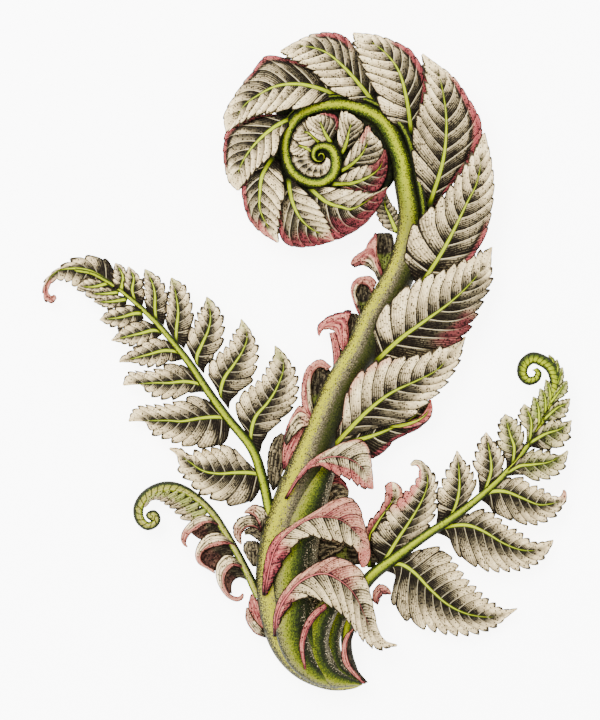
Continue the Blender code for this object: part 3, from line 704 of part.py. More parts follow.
BRACTS = {
    "upper_bract": ("bract", shape(
        [(142.5, 110.6), (147, 118.5), (153, 125.8), (160.5, 130.4), (170, 132.4), (178, 128.6), (183.4, 121.5),
         (186.6, 115.6)],
        [(141, 110.3), (145.3, 118.5), (150.1, 125.4), (156.4, 130.8), (165.3, 135.2), (175.6, 139.2),
         (181.4, 138.6), (185, 132), (186.4, 123), (187.2, 115.8)],
        [(143.6, 110.4), (148.6, 117), (153.4, 122.2), (158.8, 126.2), (163.3, 126.2), (168.2, 123.4),
         (172.4, 122.2), (176.6, 119.9), (180.4, 117.1), (186.2, 115.2)],
        [17.6, 21, 25, 26.6, 24, 17], [17, 19.4, 20.8, 18, 16, 15.6], [18, 21.8, 24.2, 23.8, 21, 16.4],
        14, 4, 1.0, 0.9)),
    "upper_back_leaf": ("shade", shape(
        [(164.5, 104), (167, 110), (170, 116), (174.4, 115.2)],
        [(162.2, 106), (164.4, 114), (168.4, 119.6), (174.2, 116)],
        [(166.6, 102.6), (170.4, 108.4), (173.8, 112.4), (175, 114.2)],
        [9, 10, 9.6, 9], [8.6, 9, 9, 9], [8.6, 8.8, 8.8, 9], 8, 2, 0.5, 0.4)),
    "middle_bract": ("bract", shape(
        [(132.2, 62.4), (134.8, 76.6), (138.6, 88), (146.6, 96.2), (157.4, 101.8), (170.2, 100.6), (178.8, 92.8),
         (182.4, 84), (181.2, 76.6)],
        [(130.8, 62.6), (132, 78), (136.4, 90.4), (147.3, 98.8), (157.4, 104.6), (166.5, 110.2), (174.4, 111.5),
         (179.4, 107), (182.6, 96.4), (185.2, 86.7), (184.9, 80), (182, 76)],
        [(133.8, 63), (138.4, 74), (143.4, 83.4), (148.6, 90), (155.4, 93), (160.8, 91.6), (168.4, 90.6),
         (174.8, 88.6), (178.6, 85), (179.4, 79.8), (180.6, 76.2)],
        [17.8, 20.8, 24.6, 28.4, 28.6, 24, 18], [17, 19.2, 22, 21.4, 19, 17.6, 17.4],
        [18.6, 22.8, 25.4, 26.8, 25.4, 21.6, 17.4], 14, 4, 1.1, 0.9)),
    "middle_back_leaf": ("shade", shape(
        [(157.8, 84.5), (163, 86), (168, 87), (173, 90)],
        [(157.6, 89.6), (163, 90.6), (168, 91), (172.6, 92)],
        [(158.6, 78.6), (164, 80.8), (169.6, 83), (173.6, 88)],
        [12, 13.4, 13.6, 13], [11.6, 12, 12.4, 12.6], [11.4, 12, 12.6, 12.6], 6, 2, 0.6, 0.4)),
    "lower_bract": ("bract", shape(
        [(137.8, 42), (138.6, 52), (142.4, 61), (151, 70.5), (162, 74), (171.7, 69.1), (177.4, 62.8), (180.8, 55.9),
         (184.7, 47.4), (190, 40.6), (198.6, 37.4)],
        [(136.4, 42), (136.6, 52), (139.6, 61.5), (146.4, 70.8), (154.4, 76.8), (161.2, 80.4), (167.9, 82.1),
         (177.4, 78), (182.3, 72), (185.4, 62.4), (187.4, 53), (189.4, 44.6), (193.6, 39.4), (198.8, 38)],
        [(139.2, 42.2), (140.6, 51), (144.4, 57.6), (149.4, 61.6), (154.8, 62.6), (161.3, 60.3), (168.9, 56),
         (174.4, 50.6), (178.5, 45), (183.1, 40.2), (188.9, 36.9), (198.4, 36.8)],
        [18.4, 23.6, 28, 29.6, 27, 22.6, 18, 15], [17.2, 21.2, 24, 22.6, 19.6, 18, 16.6, 15],
        [20, 25.6, 27.8, 27.4, 24.4, 20, 17, 15], 16, 4, 1.3, 0.9)),
    "lower_strip": ("bract", shape(
        [(152.7, 26), (151.4, 33), (151.3, 40), (153.6, 47.6), (157.6, 53.6), (163, 58)],
        [(152.4, 26), (150.2, 33), (149.6, 40), (151.8, 48.4), (156.2, 55), (162.4, 59.4)],
        [(153.2, 26), (152.6, 33), (152.8, 39.6), (155, 46.4), (158.8, 52), (163.8, 56.4)],
        [22.6, 25.4, 25.8, 25, 23.4], [22.6, 25.8, 26.2, 25.4, 23.6], [22, 24.6, 24.8, 24.2, 22.8], 8, 2, 0.0, 0.2)),
    "foot_blade": ("bract", shape(
        [(182.6, 18.4), (175.4, 26.4), (172.8, 34.6), (174, 41.4), (177.2, 46)],
        [(180.8, 18), (171.9, 27.6), (170.6, 35.2), (172.4, 42.4), (176.8, 46.4)],
        [(184.2, 18.6), (177.9, 26.6), (175.9, 33.4), (176, 39.8), (177.8, 45.8)],
        [10.4, 13, 14, 14.4, 14.6], [10.2, 12.4, 13.4, 14, 14.4], [9.8, 11.4, 12.2, 13, 14.2], 8, 2, 0.0, 0.4)),
    "side_curl": ("bract", shape(
        [(187.4, 58.4), (188.4, 62.6), (191, 65.2), (193.6, 64.6), (195.6, 63)],
        [(186, 59.6), (186.8, 64.6), (190, 67.7), (193.8, 66.4), (195.9, 63.6)],
        [(189, 57.2), (190, 60.6), (191.4, 62.6), (193.4, 62.8), (195.4, 62.4)],
        [9.7, 11.1, 11.3, 10.5, 9.5], [9.3, 9.7, 9.7, 9.3, 9.1], [9.3, 9.7, 9.7, 9.5, 9.1], 8, 2, 0.5, 0.5)),
    "left_curl_upper": ("bract", shape(
        [(134, 96), (132.6, 101), (128.8, 104.8), (124.4, 104), (122.2, 102.4)],
        [(132.6, 95.6), (131.2, 99.6), (128.6, 102), (125.8, 102.4), (122.6, 101.8)],
        [(135.2, 96.6), (134.2, 102.6), (129, 106.9), (123.4, 105.6), (121.8, 103)],
        [10, 11.4, 12, 11, 10], [9.6, 10, 10, 9.8, 9.6], [9.6, 10.6, 10.8, 10, 9.6], 8, 2, 0.5, 0.4)),
    "left_curl_middle": ("bract", shape(
        [(131.6, 92.2), (128.4, 97), (124.8, 98.6), (121.4, 97.4), (119.6, 93), (121, 87.2)],
        [(130.8, 91.2), (127, 95), (124, 95.6), (122, 93), (121.6, 87.6)],
        [(132.4, 93.4), (129.8, 98.4), (125.6, 101.1), (120.6, 100.4), (117.4, 95.6), (118.2, 90.6), (120.6, 86.8)],
        [8.2, 9.4, 10, 9.6, 8.4], [7.8, 8, 8, 8, 7.8], [7.8, 8.6, 8.8, 8.4, 7.8], 8, 2, 0.5, 0.4)),
    "left_grey_leaf": ("shade", shape(
        [(127.6, 77.6), (126.2, 83), (125, 88.8)],
        [(126.4, 77.2), (122.2, 83.4), (123, 88.6), (124.4, 89.4)],
        [(128.6, 78), (130, 83.4), (128.4, 88.4), (125.8, 89.4)],
        [6.6, 7.4, 7], [6, 6.4, 6.6], [6, 6.4, 6.6], 6, 2, 0.5, 0.4)),
    "left_pouch": ("bract", shape(
        [(133.4, 41), (128.4, 46.6), (125.6, 54.6), (126, 62.8)],
        [(132.8, 40.4), (126.1, 43.8), (122.5, 53.6), (124.3, 60.7), (125.6, 63.2)],
        [(134, 42), (130.6, 49), (128, 58.6), (126.6, 63.2)],
        [6, 8.4, 8.8, 7.6], [5.6, 6.4, 6.8, 7.4], [5.8, 8.6, 9.2, 7.8], 8, 2, 0.4, 0.7)),
    "stem_bract_1": ("bract", shape(
        [(190, 222.4), (189.4, 230), (186.6, 236.4), (181.4, 233.6), (176.6, 228.2)],
        [(188.6, 221.4), (183.4, 224.8), (180.4, 226.6), (178, 226.2), (176.4, 226.8)],
        [(191.6, 223.4), (193.4, 232), (191.4, 242.6), (185.2, 239.7), (179.6, 233.8), (175.2, 229.4)],
        [8.4, 11, 12, 11, 9], [8.4, 9.6, 9.6, 9, 8.6], [8.4, 9.6, 10, 10, 8.8], 10, 4, 0.5, 0.8)),
    "stem_bract_2": ("bract", shape(
        [(179.4, 204.4), (179.4, 211), (181.4, 217), (184.6, 219.4)],
        [(178.2, 204.6), (175.9, 213.6), (180, 220.8), (184.2, 221.2)],
        [(180.8, 204.2), (183, 209.6), (185.6, 214.6), (186.4, 218)],
        [8, 10.6, 10.8, 9], [8, 8.4, 8.8, 8.6], [8, 8.6, 8.8, 8.6], 8, 2, 0.4, 0.9)),
    "stem_bract_3": ("bract", shape(
        [(168, 178), (169.8, 190), (171, 198.6), (166, 198.4), (161.4, 195.6), (159.6, 192)],
        [(166.8, 177.4), (166.2, 186), (165.4, 193), (162.8, 194.4), (160.6, 193.4), (159.8, 191.4)],
        [(169.2, 178.6), (172.6, 189), (177, 201), (173.6, 204.6), (166.4, 201.9), (159.3, 196.8), (159.2, 192.4)],
        [8, 11, 12, 11.4, 9], [8, 9.6, 9.8, 9.4, 8.8], [8, 10, 10.4, 10, 8.8], 12, 4, 0.5, 0.8)),
    "stem_bract_4": ("bract", shape(
        [(153.6, 155.6), (154, 163), (156.8, 172), (161, 176)],
        [(152.4, 156), (151, 165), (154.2, 175.2), (159.8, 179)],
        [(155, 155.6), (157.4, 162), (161, 169), (163.4, 175)],
        [8, 10.6, 10.8, 9], [8, 8.4, 8.8, 8.8], [8, 9, 9.2, 8.8], 8, 2, 0.4, 0.9)),
    "stem_bract_5": ("bract", shape(
        [(141.4, 126.6), (142.6, 135), (146, 143.6), (150, 150), (152, 154.6)],
        [(140.6, 127), (140.6, 137), (145, 149.2), (152, 156.8)],
        [(142.4, 126.2), (146, 134.6), (150, 142.6), (154.6, 149.6), (153.4, 156)],
        [9, 12, 12.6, 11.6, 10], [9, 9.6, 9.8, 9.6], [9, 11, 11.4, 10.6, 9.8], 10, 4, 0.6, 0.8)),
    "stem_bract_6": ("shade", shape(
        [(139.6, 117), (137, 127), (137.4, 134), (139.6, 140.6)],
        [(138.4, 117), (133.6, 127.4), (134.6, 136), (138.8, 141.6)],
        [(140.8, 117.4), (139.6, 126.4), (139.6, 133.6), (140.2, 141)],
        [6, 7, 7, 6.6], [5.8, 6, 6, 6.4], [5.8, 6, 6, 6.4], 8, 2, 0.5, 0.3)),
}


def build_bracts(cutters):
    for name, (slot, leaf) in BRACTS.items():
        made = blade(name, leaf, slot)
        for cutter in cutters:
            trim(made, cutter)


def grown_stalks():
    """The foot's stalks a little larger, so that the leaves over them end clear of them."""
    grown = []
    for number, (points, widths, heights, centres) in enumerate(STALKS):
        wide = [value + CLEARANCE for value in widths]
        high = [value + CLEARANCE for value in heights]
        grown.append(tube("cutter_%d" % number, points, wide, high, centres, len(points) + 1, 8))
    return grown


clear_scene()
build_main()
stem_cutter = main_stem("stem_cutter", CLEARANCE)
cutters = [stem_cutter] + grown_stalks()
for side in (build_left(), build_young()):
    trim(side, stem_cutter)
right = build_right()
for cutter in cutters:
    trim(right, cutter)
build_bracts(cutters)
for cutter in cutters:
    bpy.data.objects.remove(cutter, do_unlink=True)
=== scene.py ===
import math

import bmesh
import bpy
import numpy as np
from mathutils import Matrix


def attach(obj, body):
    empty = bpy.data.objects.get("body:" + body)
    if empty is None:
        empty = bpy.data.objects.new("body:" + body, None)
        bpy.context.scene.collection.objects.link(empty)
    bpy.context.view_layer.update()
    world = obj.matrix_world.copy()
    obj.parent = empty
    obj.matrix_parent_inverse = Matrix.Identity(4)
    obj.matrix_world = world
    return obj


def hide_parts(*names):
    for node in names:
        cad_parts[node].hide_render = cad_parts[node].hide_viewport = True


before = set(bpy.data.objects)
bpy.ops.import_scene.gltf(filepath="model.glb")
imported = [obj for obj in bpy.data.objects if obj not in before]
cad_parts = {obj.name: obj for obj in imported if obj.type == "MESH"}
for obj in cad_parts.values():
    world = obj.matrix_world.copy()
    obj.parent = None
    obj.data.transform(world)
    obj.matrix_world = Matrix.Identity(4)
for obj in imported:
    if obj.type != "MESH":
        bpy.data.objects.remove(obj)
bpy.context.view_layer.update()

print("frame loaded")

# The plan is in millimetres, x to the right and y up the plant; planCentre is the part's origin in it.
planCentre = (167.6, 162.2)
coil = {"x": 160.0, "y": 281.9, "z": 13.0}


def spots(text):
    return np.array([[float(n) for n in pair.split(",")] for pair in text.split()])


def between(a, b, c, d, t):
    # the smooth curve from b to c, which comes from a and goes on to d
    return 0.5 * (2 * b + (c - a) * t + (2 * a - 5 * b + 4 * c - d) * t**2 + (3 * b - a - 3 * c + d) * t**3)


def flow(values, u):
    # a smooth run through evenly spaced values
    knots = np.atleast_1d(np.array(values, float))
    if len(knots) == 1:
        return knots[0] + 0 * u
    knots = np.concatenate([[2 * knots[0] - knots[1]], knots, [2 * knots[-1] - knots[-2]]])
    span = np.clip(u, 0, 1) * (len(knots) - 3)
    at = np.minimum(span.astype(int), len(knots) - 4)
    return between(knots[at], knots[at + 1], knots[at + 2], knots[at + 3], span - at)


def soften(t):
    t = np.clip(t, 0, 1)
    return t * t * (3 - 2 * t)


class Trace:
    # a smooth plan line through a few points, read by its length
    def __init__(self, points):
        knots = spots(points) if isinstance(points, str) else np.array(points, float)
        knots = np.vstack([2 * knots[0] - knots[1], knots, 2 * knots[-1] - knots[-2]])
        steps = np.linspace(0, 1, 16, endpoint=False)[:, None]
        runs = [between(*four, steps) for four in zip(knots, knots[1:], knots[2:], knots[3:])]
        self.line = np.vstack(runs + [knots[-2][None]])
        step = np.diff(self.line, axis=0)
        self.run = np.concatenate([[0], np.cumsum(np.hypot(step[:, 0], step[:, 1]))])
        self.length = self.run[-1]

    def at(self, u):
        want = np.clip(u, 0, 1) * self.length
        return np.stack([np.interp(want, self.run, self.line[:, k]) for k in (0, 1)], -1)

    def heading(self, u):
        way = self.at(np.minimum(u + 0.02, 1)) - self.at(np.maximum(u - 0.02, 0))
        return way / np.maximum(np.hypot(way[..., 0], way[..., 1]), 1e-9)[..., None]


# Heights stand at even steps from a leaf's foot to its tip. A leaf with three of them and no others has both
# margins hang below its rib half way along; a tilted leaf has five, its left margin up and its right one down
rimDroop = np.array([0, 1.2, 0])
tiltShare = np.array([0.4, 1, 1, 1, 0])


def outline(mid, left, right, z, zl=None, zr=None, tilt=None, depth=0, arch=0.8, tint=None):
    # a leaf in plan: its rib, its two margins, and the height of each along the leaf
    z = np.array(z, float)
    if tilt is not None:
        zl, zr = z + tilt * tiltShare, z - tilt * tiltShare
    elif zl is None:
        zl = zr = z - rimDroop
    zl, zr = np.array(zl, float), np.array(zr, float)
    return {"mid": mid, "left": left, "right": right, "z": z, "zl": zl, "zr": zr,
            "depth": depth, "arch": arch, "tint": tint}


# Soft patches on a leaf, each given as u from, u to, side from, side to, strength; the dark ones are painted
# shade. The foot has u = 0 and the tip 1; the left margin has side 1 and the right margin -1; numbers past
# these leave that edge open
def overAll(strength):
    return (-1, 2, -2, 2, strength)


def upTo(end, strength):
    return (-1, end, -2, 2, strength)


def beyond(start, strength):
    return (start, 2, -2, 2, strength)


patchBlur = {"along": 0.12, "across": 0.14, "roll": 0.1}


def inside(value, start, end, blur):
    return soften((value - start) / blur + 0.5) * soften((end - value) / blur + 0.5)


def window(u, side, patches):
    total = 0 * u * side
    for uFrom, uTo, sideFrom, sideTo, strength in patches:
        part = inside(u, uFrom, uTo, patchBlur["along"]) * inside(side, sideFrom, sideTo, patchBlur["across"])
        total = np.maximum(total, part * strength)
    return total


layerNames = ["phase", "side", "ribGap", "rimGap", "run", "blush", "flush", "paintedShade", "under"]


def wrapGrid(body, rows, columns, points, facts):
    # a grid rolled up round the piece: its seam is welded and its ends are closed
    for name in layerNames:
        if body.verts.layers.float.get(name) is None:
            body.verts.layers.float.new(name)
    verts = bmesh.ops.create_grid(body, x_segments=rows, y_segments=columns, size=0.5)["verts"]
    plan = (points - [planCentre[0], planCentre[1], 0]) / 1000.0
    table = [(body.verts.layers.float[name], np.broadcast_to(facts.get(name, 0.0), plan.shape[:2]))
             for name in layerNames]
    for vert in verts:
        i = int(round((vert.co.x + 0.5) * rows))
        j = int(round((vert.co.y + 0.5) * columns))
        vert.co = plan[i, j]
        for layer, values in table:
            vert[layer] = values[i, j]
    bmesh.ops.remove_doubles(body, verts=verts, dist=0.0000005)
    verts = [vert for vert in verts if vert.is_valid]
    rims = [edge for vert in verts for edge in vert.link_edges if edge.is_boundary]
    bmesh.ops.holes_fill(body, edges=list(set(rims)), sides=0)


# What a blade has where its look says nothing else; lengths are in millimetres
plainLook = {"bite": 1.0, "biteRight": 1.0, "lean": 0.7, "taper": 5.0, "room": 5.0, "ribRise": 0.3,
             "rolls": [], "paintedShade": [], "blush": [], "flush": []}
saw = {"at": [0, 0.25, 0.8, 0.94, 1], "high": [0, 0.5, 1, 0.6, 0]}
ribBead = {"reach": 0.6, "backReach": 0.7, "backDepth": 0.35}
backShift = 0.6
lowest = {"top": 0.35, "back": 0.1}


def addBlade(body, leaf, ownLook):
    # one waved blade between two toothed margins; its rows follow the side veins
    look = {**plainLook, **ownLook}
    lobes, fine, columns = look["lobes"], len(look["teeth"]), look["columns"]
    rows = lobes * fine
    mid, left, right = Trace(leaf["mid"]), Trace(leaf["left"]), Trace(leaf["right"])
    u0 = np.linspace(0, 1, rows + 1)[:, None]
    side = np.linspace(-1, 1, 2 * columns + 1)[None, :]
    share = np.abs(side)
    sample = np.linspace(0.2, 0.8, 7)
    wide = np.mean(np.linalg.norm(left.at(sample) - right.at(sample), axis=-1)) / 2
    slant = look["slant"] * wide / mid.length
    bend = slant * (0.55 * share + 0.45 * share**2) * np.minimum(u0 * 4, 1)
    u = 1 - (1 - u0) * np.exp(-bend / (1.12 - u0))  # each row runs on toward the tip but never past it
    rib = mid.at(u)
    edge = np.where(side[..., None] > 0, left.at(u), right.at(u))
    out = edge - rib
    reach = np.maximum(np.linalg.norm(out, axis=-1), 0.05)
    # teeth and veins fade toward the tip and the foot, and where the leaf is narrow
    fade = np.minimum(1, look["taper"] * (1 - u0)) * np.minimum(1, 0.35 + 3 * u0)
    tooth = np.array(look["teeth"])[np.arange(rows + 1) % fine][:, None] * fade
    bite = np.where(side < 0, look["biteRight"], look["bite"])
    room = np.minimum(1, reach / look["room"]) ** 1.6
    push = (leaf["depth"] * bite * tooth * room * share**6)[..., None]
    spot = rib + out * share[..., None]
    toothed = spot + out / reach[..., None] * push + mid.heading(u) * push * look["lean"]

    # the blade's height, and margins that roll over: a groove darkened with painted shade, then a bead that
    # shows its pink under side
    ribZ = flow(leaf["z"], u)
    rimZ = np.where(side > 0, flow(leaf["zl"], u), flow(leaf["zr"], u))
    z = ribZ + (rimZ - ribZ) * share + leaf["arch"] * 4 * share * (1 - share)
    # painted shade from the dark patches; the rolls below add more of it in their grooves
    paintedShade = window(u, side, look["paintedShade"])
    blush = window(u, side, look["blush"])
    rolled = 0 * z
    for roll in look["rolls"]:
        past = share - roll["at"]
        on = inside(u, roll["from"], roll["to"], patchBlur["roll"]) * (side * roll["side"] > 0)
        bead = np.sin(np.pi * np.clip(past / (1 - roll["at"]), 0, 1))
        z = z + on * (roll["rise"] * bead - roll["dip"] * np.exp(-((past / 0.06) ** 2)))
        paintedShade = np.maximum(paintedShade, on * np.exp(-(((past + 0.03) / 0.06) ** 2)))
        blush = np.maximum(blush, on * soften(past / 0.05))
        rolled = np.maximum(rolled, on * (past > 0))

    # the relief of the side veins and the rib, laid on along the blade's own slope
    step = np.interp((u0 * lobes) % 1.0, saw["at"], saw["high"]) * fade
    relief = look["relief"] * step * room * np.sqrt(share) * (1 - 0.5 * share**3) * (1 - 0.8 * rolled)
    relief = relief + look["ribRise"] * np.exp(-((share * reach / ribBead["reach"]) ** 2)) * (1 - u) ** 0.5
    flat = np.dstack([spot[..., 0], spot[..., 1], z])
    normal = np.cross(np.gradient(flat, axis=0), np.gradient(flat, axis=1))
    size = np.linalg.norm(normal, axis=-1)[..., None]
    normal = np.where(size > 1e-7, normal / np.maximum(size, 1e-7), (0, 0, 1.0))
    thick = look["thick"] * (1 - share**4)
    thick = thick + ribBead["backDepth"] * np.exp(-((share * reach / ribBead["backReach"]) ** 2)) * (1 - u)
    base = np.dstack([toothed[..., 0], toothed[..., 1], z])
    top = base + normal * relief[..., None]
    low = base + normal * (relief * 0.6 - thick * (share < 1) + relief * 0.4 * (share >= 1))[..., None]
    for face, floor in ((top, lowest["top"]), (low, lowest["back"])):
        if leaf.get("flip"):
            face[..., 2] = 2 * coil["z"] - face[..., 2] - backShift
        face[..., 2] = np.maximum(face[..., 2], floor)
    low[:, 0], low[:, -1] = top[:, 0], top[:, -1]
    tip = top[-1].mean(axis=0)
    top[-1], low[-1] = tip, tip

    def wrap(above, below):
        return np.concatenate([above, below[:, ::-1][:, 1:]], axis=1)

    def twice(values):
        values = np.broadcast_to(values, z.shape)
        return wrap(values, values)

    facts = {"phase": u0 * lobes, "side": side, "ribGap": share * reach, "rimGap": (1 - share) * reach,
             "run": u, "blush": blush, "flush": window(u, side, look["flush"]), "paintedShade": paintedShade}
    facts = {name: twice(values) for name, values in facts.items()}
    facts["under"] = wrap(np.zeros(z.shape), np.ones(z.shape))
    wrapGrid(body, rows, 4 * columns, wrap(top, low), facts)


def along(values, u):
    return values(u) if callable(values) else flow(values, u)


def comesIn(rows, start, over):
    # 0 at the foot of a tube and 1 past this share of its length, for each of its rings
    return soften((np.linspace(0, 1, rows + 1)[:, None] - start) / over)


def addTube(body, path, widths, heights, centres, rows, sides, flush=0.0):
    # a closed stem whose rings stand upright along a plan line; widths and heights are half of the whole
    line = path if isinstance(path, Trace) else Trace(path)
    u = np.linspace(0, 1, rows + 1)[:, None]
    turn = 2 * math.pi * np.linspace(0, 1, sides + 1)[None, :] - math.pi / 2
    at = line.at(u[:, 0])[:, None, :]
    way = line.heading(u[:, 0])[:, None, :]
    aside = np.cos(turn) * along(widths, u)
    z = np.maximum(along(centres, u) + np.sin(turn) * along(heights, u), 0.0)
    points = np.dstack([at[..., 0] + way[..., 1] * aside, at[..., 1] - way[..., 0] * aside, z])
    points[:, -1] = points[:, 0]
    facts = {"phase": np.sin(turn), "side": np.cos(turn), "ribGap": line.length * u, "flush": flush}
    wrapGrid(body, rows, sides, points, facts)


def finishPiece(body, name, paint, slotName, *nodes):
    bmesh.ops.recalc_face_normals(body, faces=body.faces[:])
    for face in body.faces:
        face.smooth = True
    mesh = bpy.data.meshes.new(name)
    body.to_mesh(mesh)
    body.free()
    piece = bpy.data.objects.new(name, mesh)
    bpy.context.scene.collection.objects.link(piece)
    mesh.materials.append(paint)
    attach(piece, "root")
    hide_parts(*nodes)
    print("made %s with %d triangles" % (name, sum(len(face.vertices) - 2 for face in mesh.polygons)))


# Paints
class Wire:
    # a socket that can be reckoned with like a number
    def __init__(self, paint, socket):
        self.paint, self.socket = paint, socket

    def step(self, operation, first, second=None):
        inputs = {0: first} if second is None else {0: first, 1: second}
        return self.paint.node("ShaderNodeMath", {"operation": operation}, inputs)

    def __add__(self, other):
        return self.step("ADD", self, other)

    def __radd__(self, other):
        return self.step("ADD", other, self)

    def __sub__(self, other):
        return self.step("SUBTRACT", self, other)

    def __rsub__(self, other):
        return self.step("SUBTRACT", other, self)

    def __mul__(self, other):
        return self.step("MULTIPLY", self, other)

    def __rmul__(self, other):
        return self.step("MULTIPLY", other, self)

    def __pow__(self, other):
        return self.step("POWER", self, other)

    def size(self):
        return self.step("ABSOLUTE", self)

    def part(self):
        return self.step("FRACT", self)

    def most(self, other):
        return self.step("MAXIMUM", self, other)

    def least(self, other):
        return self.step("MINIMUM", self, other)

    def rise(self, low, high, top=1.0):
        return self.paint.node("ShaderNodeMapRange", {"interpolation_type": "SMOOTHSTEP"},
                               {"Value": self, "From Min": low, "From Max": high, "To Max": top})


def tone(code):
    # a colour as it is seen, turned into the linear light that a shader takes
    seen = [int(code[at : at + 2], 16) / 255 for at in (1, 3, 5)]
    return [(part / 12.92 if part <= 0.04045 else ((part + 0.055) / 1.055) ** 2.4) for part in seen] + [1.0]


class Paint:
    # one material and the nodes that paint it
    def __init__(self, name, rough):
        self.material = bpy.data.materials.new(name)
        self.material.use_nodes = True
        self.tree = self.material.node_tree
        self.shader = self.tree.nodes["Principled BSDF"]
        self.shader.inputs["Roughness"].default_value = rough
        self.shader.inputs["Specular IOR Level"].default_value = 0.05

    def node(self, kind, settings=None, inputs=None, out=0):
        made = self.tree.nodes.new(kind)
        for key, value in (settings or {}).items():
            setattr(made, key, value)
        for key, value in (inputs or {}).items():
            if isinstance(value, Wire):
                self.tree.links.new(value.socket, made.inputs[key])
            else:
                made.inputs[key].default_value = value
        return Wire(self, made.outputs[out])

    def read(self, name):
        return self.node("ShaderNodeAttribute", {"attribute_name": name}, {}, "Fac")

    def place(self):
        return self.node("ShaderNodeTexCoord", {}, {}, "Object")

    def vector(self, x, y, z):
        return self.node("ShaderNodeCombineXYZ", {}, {"X": x, "Y": y, "Z": z})

    def noise(self, vector, scale, detail=2.0, rough=0.5):
        return self.node("ShaderNodeTexNoise", {},
                         {"Vector": vector, "Scale": scale, "Detail": detail, "Roughness": rough})

    def mix(self, amount, first, second):
        first = tone(first) if isinstance(first, str) else first
        second = tone(second) if isinstance(second, str) else second
        return self.node("ShaderNodeMix", {"data_type": "RGBA"}, {0: amount, 6: first, 7: second}, 2)

    def ramp(self, amount, stops):
        made = self.node("ShaderNodeValToRGB", {}, {"Fac": amount}, "Color")
        elements = made.socket.node.color_ramp.elements
        while len(elements) < len(stops):
            elements.new(0.5)
        for element, (place, colour) in zip(elements, stops):
            element.position = place
            element.color = tone(colour)
        return made

    def cells(self, spot, scale, out):
        return self.node("ShaderNodeTexVoronoi", {"feature": "F1"}, {"Vector": spot, "Scale": scale}, out)

    def dots(self, spot, scale, amount):
        # ink dots: more of them and larger where the amount is high
        away = self.cells(spot, scale, "Distance")
        chance = self.node("ShaderNodeSeparateColor", {}, {0: self.cells(spot, scale, "Color")})
        shown = (amount - chance).rise(-0.04, 0.04)
        return (1 - (away - 0.30 - amount * 0.22).rise(-0.08, 0.08)) * shown

    def finish(self, colour, height, depth=0.0004):
        bump = self.node("ShaderNodeBump", {}, {"Height": height, "Strength": 0.3, "Distance": depth})
        self.tree.links.new(colour.socket, self.shader.inputs["Base Color"])
        self.tree.links.new(bump.socket, self.shader.inputs["Normal"])
        return self.material


leafColours = {"ink": "#0d0804", "rib": "#a0ac00", "ribEdge": "#2c360c", "flush": "#77882a",
               "line": "#ffeebb"}
leafTones = [(0.0, "#fff0c4"), (0.16, "#dfc794"), (0.34, "#9c8a67"), (0.54, "#4f4936"), (0.74, "#1f1910"),
             (1.0, "#0b0704")]
pinkTones = [(0.0, "#c57f6c"), (0.22, "#964644"), (0.48, "#6a292e"), (0.78, "#331317"), (1.0, "#100606")]
# The ink of a leaf: scales count the spots in a metre, crease shadows and lines are shares of a lobe, and the
# border and the rib's edge are in millimetres
leafInk = {"rough": 0.72, "cloud": 170.0, "grain": 900.0, "wobble": 240.0, "dots": 900.0, "darkest": 1.15,
           "base": 0.145, "seam": 0.06, "creaseShadowSpread": 0.13, "lineFrom": 0.89, "lineTo": 0.96, "border": 0.52,
           "ribEdge": 0.55, "bump": 0.0003}


